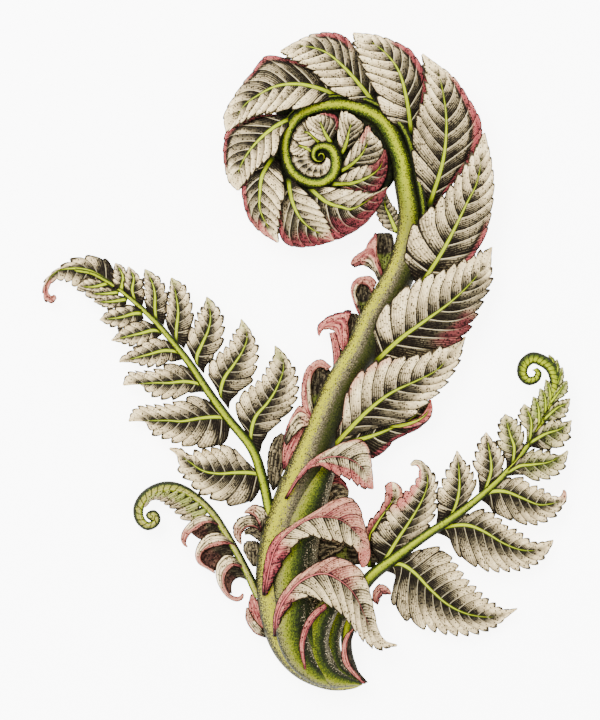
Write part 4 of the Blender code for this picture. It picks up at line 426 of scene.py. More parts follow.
def leafPaint(name, lines=6.0, ribWidth=1.0, lengthwise=False, colours=leafColours, lobed=0.8, deep=1.0):
    paint = Paint(name, leafInk["rough"])
    phase, side, ribGap, rimGap = [paint.read(name) for name in ("phase", "side", "ribGap", "rimGap")]
    run, blush, flush, paintedShade = [paint.read(name) for name in ("run", "blush", "flush", "paintedShade")]
    share, lobePart = side.size(), phase.part()
    spot = paint.place()
    cloud = paint.noise(spot, leafInk["cloud"], 3.0)
    grain = paint.noise(spot, leafInk["grain"])
    wobble = paint.noise(spot, leafInk["wobble"])

    # painted shade over the leaf: below the lobe before each lobe, along the rib and at the foot, less on the
    # lit half;
    # or, on leaves painted lengthwise, in soft folds; and the lanes that its fine lines follow
    if lengthwise:
        foldShade = paint.noise(paint.vector(side * 2.2, run * 1.5, paint.read("under") * 3), 2.0)
        dark = paintedShade + (0.52 - foldShade).rise(-0.04, 0.16, 0.6) + (0.06 - run).rise(-0.1, 0.06, 0.5)
        lane = side * lines * 1.6 + (wobble - 0.5) * 1.6
    else:
        fading = (0.98 - run).rise(0.0, 0.24) * (1 - blush * 0.2).most(0.0)
        lit = (side + 0.1).rise(-0.3, 0.5, 0.12)
        lobeShade = (1 - lobePart) ** 2.0 * (1 - share * 0.45) * (1 - lit) * lobed
        midShade = (0.7 - share).rise(0.0, 0.7) * (1.2 - lobed)
        midShade = midShade + (0.34 - share).rise(0.0, 0.34, 0.45) * (1 - lobePart)
        dark = paintedShade + (lobeShade * 0.85 + midShade * deep) * fading + (0.10 - run).rise(-0.1, 0.1, 0.4)
        lane = phase * lines + (wobble - 0.5) * 0.9
    dark = dark.least(leafInk["darkest"])
    wave = ((lane.part() - 0.5) * 2).size()
    value = dark * 0.72 + (cloud - 0.5) * 0.40 + (0.5 - wave) * (dark * 0.42 + 0.14)
    value = value + (grain - 0.5) * 0.30 + leafInk["base"]

    # the washes, then the ink dots, which crowd closer where the painted shade is deep
    body = paint.ramp(value, leafTones)
    body = paint.mix(blush.least(1.0), body, paint.ramp(value * 0.85 + (grain - 0.5) * 0.3, pinkTones))
    body = paint.mix((flush * 0.85).least(1.0) * (1 - dark * 0.5).most(0.0), body, colours["flush"])
    fleck = paint.dots(spot, leafInk["dots"], (dark * 0.36 + 0.38).least(1.0))
    body = paint.mix(fleck * 0.92, body, colours["ink"])

    # painted shadow in the crease at the foot of each lobe, and beside it a pale vein line along the lobe's
    # upper edge, brightened as a painted highlight where the painted shade is deep
    if not lengthwise:
        seam = (share**4 * leafInk["creaseShadowSpread"] + leafInk["seam"] - lobePart).rise(-0.06, 0.06)
        seam = seam * (share - 0.12).rise(0.0, 0.45) * fading
        body = paint.mix(seam * 0.95, body, colours["ink"])
        light = (lobePart - leafInk["lineFrom"]).rise(0.0, 0.04)
        light = light * (1 - (lobePart - leafInk["lineTo"]).rise(0.0, 0.03))
        light = light * lobed * (0.9 - share).rise(0.0, 0.3) * (1 - blush * 0.8) * (0.9 - run).rise(0.0, 0.1)
        body = paint.mix(light * (dark * 0.75).least(0.55), body, colours["line"])

    # the rib with its dark edges, and the inked outline
    if ribWidth:
        width = (0.86 - run).rise(0.0, 0.8) * ribWidth + 0.02
        edge = (width + leafInk["ribEdge"] - ribGap).rise(-0.25, 0.25) * (0.84 - run).rise(0.0, 0.12)
        body = paint.mix(edge * 0.85, body, colours["ribEdge"])
        core = (width - ribGap).rise(-0.16, 0.12) * (0.86 - run).rise(0.0, 0.08)
        core = core * (run - 0.01).rise(0.0, 0.09)
        ribTone = paint.mix((grain - 0.45).rise(0.0, 0.3, 0.6), colours["rib"], colours["flush"])
        body = paint.mix(core, body, ribTone)
    border = (leafInk["border"] - rimGap).rise(-0.1, 0.16) * (share - 0.6).rise(0.0, 0.1)
    body = paint.mix(border * 0.95, body, colours["ink"])
    return paint.finish(body, grain * 0.35 + wave * 0.3 - fleck * 0.3, leafInk["bump"])


# A near-black sheet that stands for the shade between the coil and the feet of its pinnae
shadeSheetTones = [(0.35, "#060604"), (0.6, "#15180a"), (0.8, "#333a14")]


def shadeSheetPaint(name):
    paint = Paint(name, 0.8)
    grain = paint.noise(paint.place(), 700.0, 3.0, 0.6)
    return paint.finish(paint.ramp(grain, shadeSheetTones), grain)


# Colour across a stem, from its left side to its right: dark outlines at both edges, a painted highlight on
# the left part and painted shade deepening toward the right; the stalks keep a pale strip by their right edge
mainStemStops = [(0.0, "#0a0a06"), (0.05, "#343218"), (0.11, "#6c6438"), (0.19, "#a4a200"), (0.27, "#8c8a00"),
                 (0.37, "#665d44"), (0.48, "#3c3628"), (0.60, "#2c300e"), (0.76, "#191d08"),
                 (0.90, "#080a04"), (1.0, "#050503")]
stalkStops = [(0.0, "#0d1006"), (0.07, "#26280f"), (0.17, "#736d40"), (0.30, "#6a7008"), (0.46, "#3c460e"),
              (0.62, "#20280c"), (0.76, "#0e1208"), (0.87, "#080a05"), (0.92, "#6b624c"), (0.97, "#f2e2b8"),
              (1.0, "#2a271c")]
coilStops = [(0.0, "#080804"), (0.12, "#14180a"), (0.26, "#3c4c12"), (0.40, "#8a9200"), (0.52, "#9a9c00"),
             (0.62, "#6c7606"), (0.76, "#242e0c"), (0.90, "#0c0e06"), (1.0, "#060604")]
youngStops = [(0.0, "#080a04"), (0.12, "#39461a"), (0.26, "#8e9608"), (0.38, "#a89c60"), (0.48, "#5a6410"),
              (0.58, "#98903c"), (0.70, "#39461a"), (0.84, "#10140a"), (1.0, "#050503")]
ridgeStops = [(0.0, "#060604"), (0.26, "#10140a"), (0.44, "#4c5812"), (0.54, "#6f7a10"), (0.66, "#1c240c"),
              (1.0, "#050503")]
rachisStops = [(0.0, "#0e1006"), (0.16, "#2c380e"), (0.32, "#98a200"), (0.55, "#7a8408"), (0.72, "#344210"),
               (0.88, "#141a08"), (1.0, "#080804")]
stemInk = {"rough": 0.58, "grain": 1500.0, "fine": 1300.0, "dots": 1000.0, "band": "#10140a",
           "dot": "#0e0e06", "fleck": "#1a1b0c"}


def stemPaint(name, stops, streaks=5.0, dotted=0.5, upperStops=None, twist=0.0):
    # the flush fact fades one set of stops into the other, or brings in the slanting bands
    paint = Paint(name, stemInk["rough"])
    up, across, length, flush = [paint.read(name) for name in ("phase", "side", "ribGap", "flush")]
    spot = paint.place()
    grain = paint.noise(spot, stemInk["grain"], 2.0, 0.7)
    streak = paint.noise(paint.vector(across * streaks, length * 0.03, up), 1.4, 3.0)
    # the stops lay the painted highlight and painted shade across the stem
    face = across * 0.5 + 0.5 + (grain - 0.5) * 1.5 * dotted + (streak - 0.5) * 0.16
    body = paint.ramp(face, stops)
    if upperStops:
        body = paint.mix(flush, body, paint.ramp(face, upperStops))
    if twist:
        band = ((length * twist + across * 0.45).part() - 0.5).size() * 2
        body = paint.mix((band - 0.62).rise(0.0, 0.3, 0.85) * flush, body, stemInk["band"])
    # painted shade, deeper toward the right side and at the far left edge; the ink dots and fine stipple
    # thicken with it
    dark = ((across - 0.05).rise(0.0, 0.9) * 0.8 + (0 - across).rise(0.6, 1.0) * 0.6).least(1.0)
    fleck = paint.dots(spot, stemInk["dots"], (dark * 0.5 + dotted * 0.6).least(1.0))
    fine = (dark * 0.40 + 0.30 - paint.noise(spot, stemInk["fine"], 2.0, 0.6)).rise(-0.04, 0.06)
    body = paint.mix(fleck * 0.8, body, stemInk["dot"])
    body = paint.mix(fine * 0.7, body, stemInk["fleck"])
    return paint.finish(body, streak * 0.6 + grain * 0.4 - fleck * 0.3)




# Main stem with its coil, and the sheath stalks round its foot
stemShape = {
    "plan": "181.5,17.6 176,17.6 166,20.5 155,28.5 147.5,40 142.8,55 140.4,72 143,91 149.8,113 "
            "159.4,140 169,164 180.4,184 187.5,200 198.5,220 203.6,235 205.2,252 202.6,268.5",
    "rings": 420, "sides": 40, "liftFrom": 190.0, "liftOver": 62.0, "heartRise": 1.5,
    "width": [0.8, 3.2, 6.5, 10.5, 13.2, 13.2, 12.6, 12.6, 11.8, 8.9, 8.3, 8.5, 8.3, 8.0, 7.0, 6.0, 5.6],
    "height": [0.8, 3.2, 5.5, 8.0, 9.5, 9.8, 9.8, 9.6, 9.2, 8.6, 8.4, 8.3, 8.1, 7.6, 6.8, 6.0, 5.6],
    "coilEnd": 900.0,
    "coilRadius": [40.4, 24.9, 17.2, 13.7, 7.65, 5.0, 3.45, 2.8, 2.1, 1.15, 0.67],
    "coilWidth": [5.3, 3.4, 2.7, 3.0, 3.7, 1.9, 1.5, 1.15, 0.86, 0.57, 0.45],
}
stalks = [
    {"plan": "177,17 164,26 154,40 149.5,60 148.5,78 151,95 155.5,109 162,124 167,131",
     "width": [1, 7, 10, 11, 11, 10, 9, 7, 4], "height": [1, 6, 8, 8.5, 8.5, 8.5, 8, 6.5, 4],
     "z": [4, 9, 12, 13, 13.2, 13, 12.5, 11.8, 10]},
    {"plan": "178,17.5 163,26 153.5,40 148.5,55 146,68 147,80 151,93", "width": [1, 6.5, 9, 10, 10, 9, 6.5],
     "height": [3, 5.5, 7, 7.5, 7.5, 7.5, 5.5], "z": [5, 10.5, 14, 15.6, 16, 16, 15.5]},
    {"plan": "170,17.5 160,22 152.5,29 148,38 146,47 147,57 151,65",
     "width": [2.5, 4.5, 6.5, 8, 8.2, 7.8, 5.5], "height": [2.5, 4.5, 5.5, 6, 6, 6, 4.5],
     "z": [7, 13.5, 17, 18.6, 19.2, 19, 17.5]},
    {"plan": "181,17.6 167,21.5 160,29 158,39 160,50 167,62", "width": [0.8, 4.6, 6, 6.3, 6.3, 5],
     "height": [2.5, 4.5, 5, 5, 5, 4], "z": [6, 10.5, 14.5, 16.5, 17, 16]},
    {"plan": "183,18 171,23.5 166.4,32.5 166,42 169.5,52 175,60", "width": [0.6, 3.2, 4.4, 4.3, 4.2, 3.6],
     "height": [0.6, 2.4, 2.8, 2.8, 2.6, 2.2], "z": [6, 9.5, 11.5, 12, 12, 12]},
]
ridgeShape = {
    "start": "208,228 210.4,240 211.6,254 209.2,269", "gap": 0.6, "turns": range(4, 131, 14),
    "width": [0.5, 1.5, 2.0, 1.9, 1.6, 1.3, 1.0, 0.5], "height": [0.5, 1.8, 2.2, 2.0, 1.8, 1.5, 1.2, 0.5],
    "z": [14, 15.4, 16.4, 16.6, 16.4, 15.6, 15, 14],
}
shadeSheetShape = {"inner": "199.4,222 204.5,240 205.6,256", "outer": "206,219 217.5,236 219,256",
             "turns": range(0, 691, 15), "wide": 9.0, "narrow": 1.0, "z": [12.6]}
shadeSheetLook = {"lobes": 60, "teeth": [0, 0.5, 1, 0.5], "columns": 4, "slant": 0.0, "relief": 0.2, "thick": 0.7,
            "paintedShade": [overAll(1.0)]}


def halfEased(values, u):
    span = min(max(u, 0.0), 1.0) * (len(values) - 1)
    low = min(int(span), len(values) - 2)
    part = span - low
    return values[low] + (values[low + 1] - values[low]) * (0.5 * part * part * (3 - 2 * part) + 0.5 * part)


def coilPoint(degrees, beside=0.0):
    radius = halfEased(stemShape["coilRadius"], degrees / stemShape["coilEnd"]) + beside
    turn = math.radians(degrees)
    return [coil["x"] + radius * math.cos(turn), coil["y"] + radius * math.sin(turn)]


def coilWidth(degrees):
    return halfEased(stemShape["coilWidth"], degrees / stemShape["coilEnd"])


def buildStem():
    turns = list(range(0, 901, 30))
    path = np.vstack([spots(stemShape["plan"]), [coilPoint(turn) for turn in turns]])
    line = Trace(path)
    knots = [line.run[np.argmin(np.hypot(*(line.line - spot).T))] / line.length for spot in path]
    count = len(stemShape["width"])
    widths = np.array(stemShape["width"] + [coilWidth(turn) for turn in turns])
    heights = np.array(stemShape["height"] + [coilWidth(turn) for turn in turns])
    lift = soften((path[:, 1] - stemShape["liftFrom"]) / stemShape["liftOver"])
    lift[count:] = 1.0
    lying = heights * math.cos(math.pi / 10)  # the part's stem has ten sides and lies on one of them
    centres = lying + (coil["z"] - lying) * lift
    centres[count:] += stemShape["heartRise"] * np.arange(len(turns)) / len(path)
    fine, half = np.linspace(0, 1, 900), 8
    average = np.ones(2 * half + 1) / (2 * half + 1)

    def smooth(values):
        dense = np.interp(fine, knots, values)
        for again in range(3):
            dense[half:-half] = np.convolve(dense, average, "valid")
        return lambda u: np.interp(u, fine, dense)

    # the brown stem turns green over the last stretch below the coil
    rings, first, last = stemShape["rings"], knots[count - 4], knots[count]
    green = comesIn(rings, first, last - first)
    body = bmesh.new()
    addTube(body, line, smooth(widths), smooth(heights), smooth(centres), rings, stemShape["sides"], green)
    skin = stemPaint("stem skin", mainStemStops, upperStops=coilStops)
    finishPiece(body, "frondStem", skin, "frond", "main_frond")
    body = bmesh.new()
    for stalk in stalks:
        addTube(body, stalk["plan"], stalk["width"], stalk["height"], stalk["z"], 90, 36)
    finishPiece(body, "footStalks", stemPaint("stalk skin", stalkStops, 6.0, 0.6), "frond", "main_frond")

    # the darker ridge along the coil's outer side, and a near-black sheet of painted shade under the coil
    # where its pinnae grow
    ridge = [coilPoint(turn, coilWidth(turn) + ridgeShape["gap"]) for turn in ridgeShape["turns"]]
    ridge = np.vstack([spots(ridgeShape["start"]), ridge])
    body = bmesh.new()
    addTube(body, ridge, ridgeShape["width"], ridgeShape["height"], ridgeShape["z"], 120, 20)
    finishPiece(body, "coilRidge", stemPaint("ridge skin", ridgeStops), "frond", "main_frond")
    turns, z = shadeSheetShape["turns"], shadeSheetShape["z"]
    reach = [max(shadeSheetShape["wide"] - turn / 60.0, shadeSheetShape["narrow"]) for turn in turns]
    inner = [coilPoint(turn) for turn in turns]
    outer = [coilPoint(turn, coilWidth(turn) + beside) for turn, beside in zip(turns, reach)]
    inner = np.vstack([spots(shadeSheetShape["inner"]), inner])
    outer = np.vstack([spots(shadeSheetShape["outer"]), outer])
    body = bmesh.new()
    # one sheet of painted shade fills the coil's heart, the other runs along the coil
    heartShadeSheet = outline("160,309 160,296 160,280 160,262 161,246", "158,309 189,302 196.5,283 194.5,266 163,246",
                    "156,308 135,298 128,280 134,258 158,245", z, z, z, arch=0)
    addBlade(body, heartShadeSheet, dict(shadeSheetLook, lobes=30, columns=10))
    addBlade(body, outline((inner + outer) / 2, inner, outer, z, [12.8], [12.2], arch=0), shadeSheetLook)
    finishPiece(body, "coilShadeSheet", shadeSheetPaint("shade sheet skin"), "frond", "main_frond")


# Pinnae of the crozier: each one's left margin rides over the right margin of the next. The teeth of one lobe
# are shares of the leaf's depth, and the lobes are counted for each pinna from the stem inward
crownTeeth = [0, 0.42, 0.60, 0.58, 0.78, 0.76, 0.92, 1.0, 0.75]
crownLobes = [11, 11, 10, 10, 10, 9, 8, 8, 8, 7, 6, 6, 6, 5, 5]
crownLeaves = [
    outline("210.5,218 222,236 233,258 238.7,270.6 242,293.6",
            "207.5,219 203,226 202.6,234 207,245.7 215.7,253.4 223.4,262 233.9,276.3 241.2,293.2",
            "212.5,217.6 227.8,223.4 241.5,240 246.4,264 245.2,280 242.6,293.4",
            (13, 19.5, 21, 19, 14), tilt=2.6, depth=2.4),
    outline("214.3,256.3 221,278.3 222.9,296.4 221.5,311.7 218.1,324.2 211,332.8",
            "211,258 207.1,275.4 206.7,287.8 210,302.2 213.4,311.7 213.5,322 210.5,332.4",
            "216.5,256 227.2,269 238.5,283 240.6,292.6 239.7,300.3 233.9,310.8 226.3,321.3 211.5,333.2",
            (13, 18.5, 20.5, 19.5, 13), tilt=2.6, depth=1.8),
    outline("205.7,292.6 203.3,308.9 199.5,323.2 192.8,332.8 184.7,339 176.5,343.3",
            "202,293 191.8,302.2 189,311.7 184.2,322.3 180.4,332.8 176.2,342.8",
            "208,293 210.5,304 213.8,318.4 208.1,330.9 202.4,336.6 189,341.9 176.8,343.8",
            (13, 18.5, 20.5, 18.5, 12.5), tilt=2.6, depth=1.6),
    outline("188,307 180.4,316.5 171.7,326.1 162.2,333.7 150.7,336.6 140.2,334.2",
            "183.5,306.5 171.7,311.3 165,315.6 157.4,324.2 147.8,330.4 140,333.6",
            "190,308.5 186,318.4 182.3,327 174.6,339.5 167,343.3 157.4,342.8 147.8,339 140.2,334.8",
            (13, 18.5, 20, 18, 12.5), tilt=2.4, depth=1.5),
    outline("169.8,311.3 161.2,315 149.7,317.5 138.3,316.5 128.7,311.7 121.5,306 113.4,292.6",
            "168,308.5 161.2,308.9 151.7,306 142.1,305 128.7,303.1 119.1,297.9 113,292.3",
            "170.5,313.5 160,324 145.9,329.9 133.5,331.8 126.8,324.6 119.1,314.6 112.4,303 112.8,293",
            (13, 18.5, 20, 18, 12.5), tilt=2.4, depth=1.5),
    outline("145.9,301.2 138.3,296.9 130.6,290.7 123.9,283 119.6,274.4 119,264.9",
            "147,299 141.1,292.6 138.3,284 131.6,279.2 124.9,272.5 119.6,264.6",
            "145.5,303 128,302 114.5,295.5 112,288 112,280 114.3,269.7 118.4,264.6",
            (13, 18.5, 19.5, 17.5, 12.5), tilt=2.4, depth=1.3),
    outline("136.6,281.5 131.4,272.6 130.1,263.9 130.6,253.4 139,238.6",
            "140,279 142.1,265.8 139.7,256.3 138.6,247 139.6,239",
            "135,282.5 124,273 121,264.8 123.9,251.5 130.6,243.8 138.5,238.4",
            (13, 18, 19.5, 17, 12.5), tilt=2.2, depth=1.2),
    outline("144,270.7 145.9,260 149.7,251.5 155.5,245.7 167,239.6",
            "147,270 150.7,265.8 157.4,259 160.3,253.4 164,246 167.4,240.2",
            "142.5,270.5 139.5,262 138.8,250 140.5,241 144,237.6 150,236.4 158,237.2 166.8,239.2",
            (13, 17.5, 19, 16.5, 12.5), tilt=2.2, depth=1.2),
    outline("154.5,266.2 163.1,259 170.8,256.3 177.5,256 193.6,266.2",
            "157.5,266 162,266.6 174.6,264.6 184.2,263 190.9,264.9 193.5,266.7",
            "153.5,264.5 155.5,255 157.6,246 162,240.4 168,240.2 175,243 "
            "183.5,249 191.4,259.5 193.9,265.9",
            (13, 17.5, 18.5, 16.5, 13), tilt=2, depth=1),
    outline("165,267.7 175.6,268.2 184,271.4 190,276.6 192.5,285",
            "166,269.5 172.9,273.3 178.3,275.6 186.3,277.6 189.8,281 192.1,285",
            "165.5,266 174.4,265.4 180.6,263 186.5,262.6 191.4,267.6 193.8,274 193.9,281 192.9,285",
            (13, 17, 18, 16.5, 13.5), tilt=1.8, depth=0.9),
    outline("169.3,273.5 175.5,277.5 181,283.2 186,293.4",
            "169.6,276.5 172.8,280.4 175.6,285.5 180.6,291.6 183.6,296.6 185.7,294",
            "171.2,272.6 178,274.6 186.6,277.2 191.4,283 191,288 186.4,293.2",
            (13, 16.5, 17.5, 16, 13.5), tilt=1.6, depth=0.8),
    outline("171,282.5 173.2,289 174.6,295 177,301.6",
            "169.2,285 168.6,291 169.3,297.5 170.6,303.4 176.6,302.4",
            "172.6,283.4 177.5,288 181.2,293.6 181.8,298 177.4,301.6",
            (13, 16, 17, 15.5, 13.5), tilt=1.4, depth=0.7),
    outline("165.5,288.3 162.7,292.6 160.5,297.5 158.4,301.6",
            "163.5,287.3 158,290.5 153.6,295.5 153.8,300 158,302",
            "167,288.8 168.8,294 169.4,301.4 163,303.6 158.8,302.6",
            (13, 15.5, 16.5, 15, 13.5), tilt=1.2, depth=0.6),
    outline("160,288.6 156.5,291.6 153.4,293.5 149.2,294.2",
            "157.5,286.8 153,286.6 148.8,288.2 147,291.4 149,294",
            "161.6,290.6 157.5,295 153.6,298.4 149.4,294.6",
            (13, 15.6, 16.6, 15.4, 14.4), (13.4, 16.2, 17, 15.8, 14.4),
            (12.6, 14.6, 15.4, 14.6, 14.4), depth=0.5, arch=0.6),
    outline("156.3,284.4 153,285.9 149.2,287 145.6,286.4",
            "156,282.4 152.4,282.4 148.6,281.4 145,284.4 145.4,286.2",
            "157,286.8 153,288.6 149,290.2 146.4,288.6 145.6,286.6",
            (13, 15.6, 16.4, 15.4, 14.4), (13.4, 16, 16.8, 15.6, 14.4),
            (12.6, 14.6, 15.4, 14.6, 14.4), depth=0.5, arch=0.6),
]
backPinna = outline("198.4,243.5 194.8,252.4 192.6,257.3 192.9,264",
                    "198,243.3 193.4,245.4 190.8,248.2 189.4,251 188.2,255.7 189.6,260.6 192.5,264",
                    "198.8,243.7 199.8,248 199.4,251.7 198,255.4 196.1,257.6 194.8,260.2 193.3,264",
                    (11.5, 9.5, 8), depth=0.7)
# By a pinna's number: from where to where its right margin rolls over and how far out the roll begins, then
# its pink patches and its patches of painted shade
crownRolls = {
    0: (0.10, 0.50, 0.84), 1: (0.02, 0.80, 0.74), 2: (0.15, 0.72, 0.74), 3: (0.45, 0.72, 0.74),
    4: (0.10, 0.66, 0.84), 5: (0.10, 0.80, 0.82), 6: (0.25, 0.75, 0.76), 7: (0.2, 0.95, 0.76),
    8: (0.15, 0.95, 0.66), 9: (0.15, 0.95, 0.62), 12: (0.3, 0.95, 0.70),
}
crownBlush = {
    6: [(0.7, 2, -2, -0.3, 0.9)], 7: [(0.6, 2, -2, -0.3, 0.95), beyond(0.86, 0.7)],
    8: [(0.35, 2, -2, -0.35, 0.95), (0.72, 2, -2, 0.4, 0.9)], 9: [(0.3, 2, -2, -0.4, 0.9), beyond(0.62, 0.9)],
    10: [(0.6, 2, 0.5, 2, 0.8)],
}
crownPaintedShade = {
    0: [upTo(0.12, 0.8), (-1, 0.35, -2, -0.1, 0.55), (0.3, 0.6, -2, -0.1, 0.28), (-1, 0.7, 0, 2, 0.08)],
    1: [upTo(0.12, 0.8), (-1, 0.4, -2, -0.1, 0.5), (0.35, 0.75, -2, 0, 0.26), (-1, 0.6, 0, 2, 0.24)],
    7: [upTo(0.14, 0.8), (-1, 0.75, -2, -0.1, 0.3), (0.45, 2, -2, -0.25, 0.5)],
    8: [upTo(0.14, 0.8), (-1, 0.75, -2, -0.1, 0.3), (0.25, 2, -2, -0.2, 0.6), (0.7, 2, -0.3, 0.4, 0.35)],
    9: [upTo(0.14, 0.8), (-1, 0.75, -2, -0.1, 0.3), (0.25, 2, -2, -0.25, 0.6), (0.6, 2, -0.3, 2, 0.4)],
}
crownPlain = {"teeth": crownTeeth, "columns": 10, "slant": 2.0, "relief": 0.62, "thick": 0.5,
              "biteRight": 0.2, "lean": 1.3,
              "paintedShade": [upTo(0.14, 0.8), (-1, 0.75, -2, -0.1, 0.28), (-1, 0.42, -2, 0, 0.55)]}


def crownLook(number):
    look = dict(crownPlain, lobes=crownLobes[number], blush=crownBlush.get(number, []))
    if number in crownPaintedShade:
        look["paintedShade"] = crownPaintedShade[number]
    if number in crownRolls:
        start, end, at = crownRolls[number]
        look["rolls"] = [{"side": -1, "from": start, "to": end, "at": at, "rise": 0.9, "dip": 0.8}]
    return look


def ridden(leaf):
    # the tip stays above the next one, and the right margin sinks under it
    tipUp, sunk = [0, 0, 0, 0, 2.6], [-0.4, -1.6, -1.6, -1.6, 1.8]
    return dict(leaf, z=leaf["z"] + tipUp, zl=leaf["zl"] + tipUp, zr=leaf["zr"] + sunk)


fanShape = {"turns": range(105, 351, 15), "tuck": 0.4, "z": [15.0, 15.6, 15.8, 15.8, 15.4],
            "zl": [13.6, 14.4, 14.6, 14.6, 14.2], "zr": [13.4, 13.8, 13.8, 13.8, 13.4]}
fanLook = {"lobes": 13, "teeth": [0, 0.4, 0.8, 1.0, 0.6], "columns": 5, "slant": 0.3, "relief": 0.25,
           "thick": 0.5, "paintedShade": [(-1, 2, -2, -0.7, 0.6), (-1, 2, 0.7, 2, 0.6)]}


def buildCrown():
    skin = leafPaint("pinna skin", 6.0, 0.8, lobed=0.95)
    for name, group in (("crownOuter", range(0, 5)), ("crownInner", range(5, 15))):
        body = bmesh.new()
        for number in group:
            addBlade(body, ridden(crownLeaves[number]), crownLook(number))
        finishPiece(body, name, skin, "frond", "main_frond")
    body = bmesh.new()
    for number, leaf in enumerate(crownLeaves):
        addBlade(body, dict(leaf, flip=True), dict(crownLook(number), teeth=[0, 0.4, 0.75, 1.0], columns=5))
    finishPiece(body, "crownBack", skin, "frond", "main_frond")

    # the thin leaf between two turns of the coil, and the small pinna behind the stem
    turns, tuck = fanShape["turns"], fanShape["tuck"]
    outer = np.array([coilPoint(turn, tuck - coilWidth(turn)) for turn in turns])
    inner = np.array([coilPoint(turn + 360, coilWidth(turn + 360) - tuck) for turn in turns])
    middle = 0.45 * inner + 0.55 * outer
    fan = outline(middle, inner, outer, fanShape["z"], fanShape["zl"], fanShape["zr"], arch=0.9)
    body = bmesh.new()
    addBlade(body, fan, fanLook)
    finishPiece(body, "coilStrips", leafPaint("strip skin", 6.0, 0.0), "frond", "main_frond")
    body = bmesh.new()
    addBlade(body, backPinna, dict(fanLook, lobes=9, slant=0.8, paintedShade=[overAll(0.3)]))
    finishPiece(body, "backPinna", skin, "frond", "main_frond")


# The two broad leaves on the stem
stemLeaves = [
    outline("186.8,178.3 199.6,190.3 212,199.4 224.5,208.5 235.2,218.5 243.5,229.2 245.9,236.7",
            "185.5,180 186,190 188.6,200 194.6,207.7 202.5,213.9 211.2,218.9 "
            "219.5,221.4 227.4,225.5 237.4,230.4 245.4,236.6",
            "188.5,177.5 206,180 227.8,189.5 235.3,200 239.8,209.4 244,218.5 246.4,236.5",
            (9.5, 16, 18.5, 16, 9), tilt=3, depth=2.6),
    outline("165.2,135.1 174.7,145.5 184.7,155.5 195.5,163.7 207.9,169.6 "
            "216.2,173.7 222,178.7 232.8,191.9",
            "164,137 170,148 172.3,160 176,167.9 183,174.5 191.3,178.7 200.4,179.5 "
            "207.9,180.4 215.4,182.2 222,186 232.3,191.7",
            "167,134 176,141.5 186,145.4 196,147.6 203,150.2 209,156.2 "
            "215,161.3 222.6,169.8 228.6,179.4 233.2,191.6",
            (9.5, 15, 18, 15.5, 8), tilt=3.2, depth=2.4),
    outline("170,138 184,141.4 196,146 206,151 215.2,159.4",
            "172,142 186,148 198,152 208,156.4 215,160.4",
            "177,137.4 182.4,135 185.4,130.6 191,133.4 197.7,140 207.3,144.6 213.4,149 216,154 215.6,159",
            (8.2, 9.4, 10, 10, 9.6), (8.4, 9.6, 10.4, 10.4, 9.8), (7.4, 8, 9, 9.4, 9.4), depth=0.6, arch=0.4),
    outline("194,146.8 202,147.6 209.2,150 213.8,154 215.4,160.4",
            "194.9,147.6 203.4,149.4 209.4,151.8 212.8,155.6 214.8,160.4",
            "194.6,146.2 202,145.6 209,147 214.6,150.4 216.4,155 215.8,160",
            (11, 12, 12.4, 12, 10.6), (11, 11.4, 11.6, 11.4, 10.4),
            (10.6, 11, 11.2, 11, 10.4), depth=0.3, arch=0.5),
]


def buildStemLeaves():
    skin = leafPaint("stem leaf skin", 6.0, 0.9)
    upper = {"lobes": 12, "teeth": crownTeeth, "columns": 10, "slant": 2.0, "relief": 0.625, "thick": 0.5,
             "lean": 1.2, "biteRight": 0.6, "blush": [(0.36, 0.6, -2, -0.6, 0.8)],
             "paintedShade": [upTo(0.14, 0.9), (-1, 0.62, -2, -0.1, 0.7), (0.1, 0.8, -2, -0.3, 0.45)]}
    lower = dict(upper, blush=[(0.1, 0.6, 0.86, 2, 0.6)],
                 paintedShade=[upTo(0.12, 0.8), (-1, 0.45, -2, -0.1, 0.6), (0.3, 0.62, -0.6, 0, 0.3)])
    flap = dict(upper, lobes=6, slant=1.2, relief=0.3, blush=[], paintedShade=[overAll(0.75)],
                rolls=[{"side": -1, "from": 0.2, "to": 2, "at": 0.74, "rise": 0.8, "dip": 0.5}])
    body = bmesh.new()
    addBlade(body, stemLeaves[0], upper)
    addBlade(body, stemLeaves[1], lower)
    addBlade(body, stemLeaves[2], flap)
    addBlade(body, stemLeaves[3], dict(flap, paintedShade=[upTo(0.2, 0.5)], blush=[overAll(1.0)], rolls=[]))
    finishPiece(body, "stemLeafPair", skin, "frond", "main_frond")


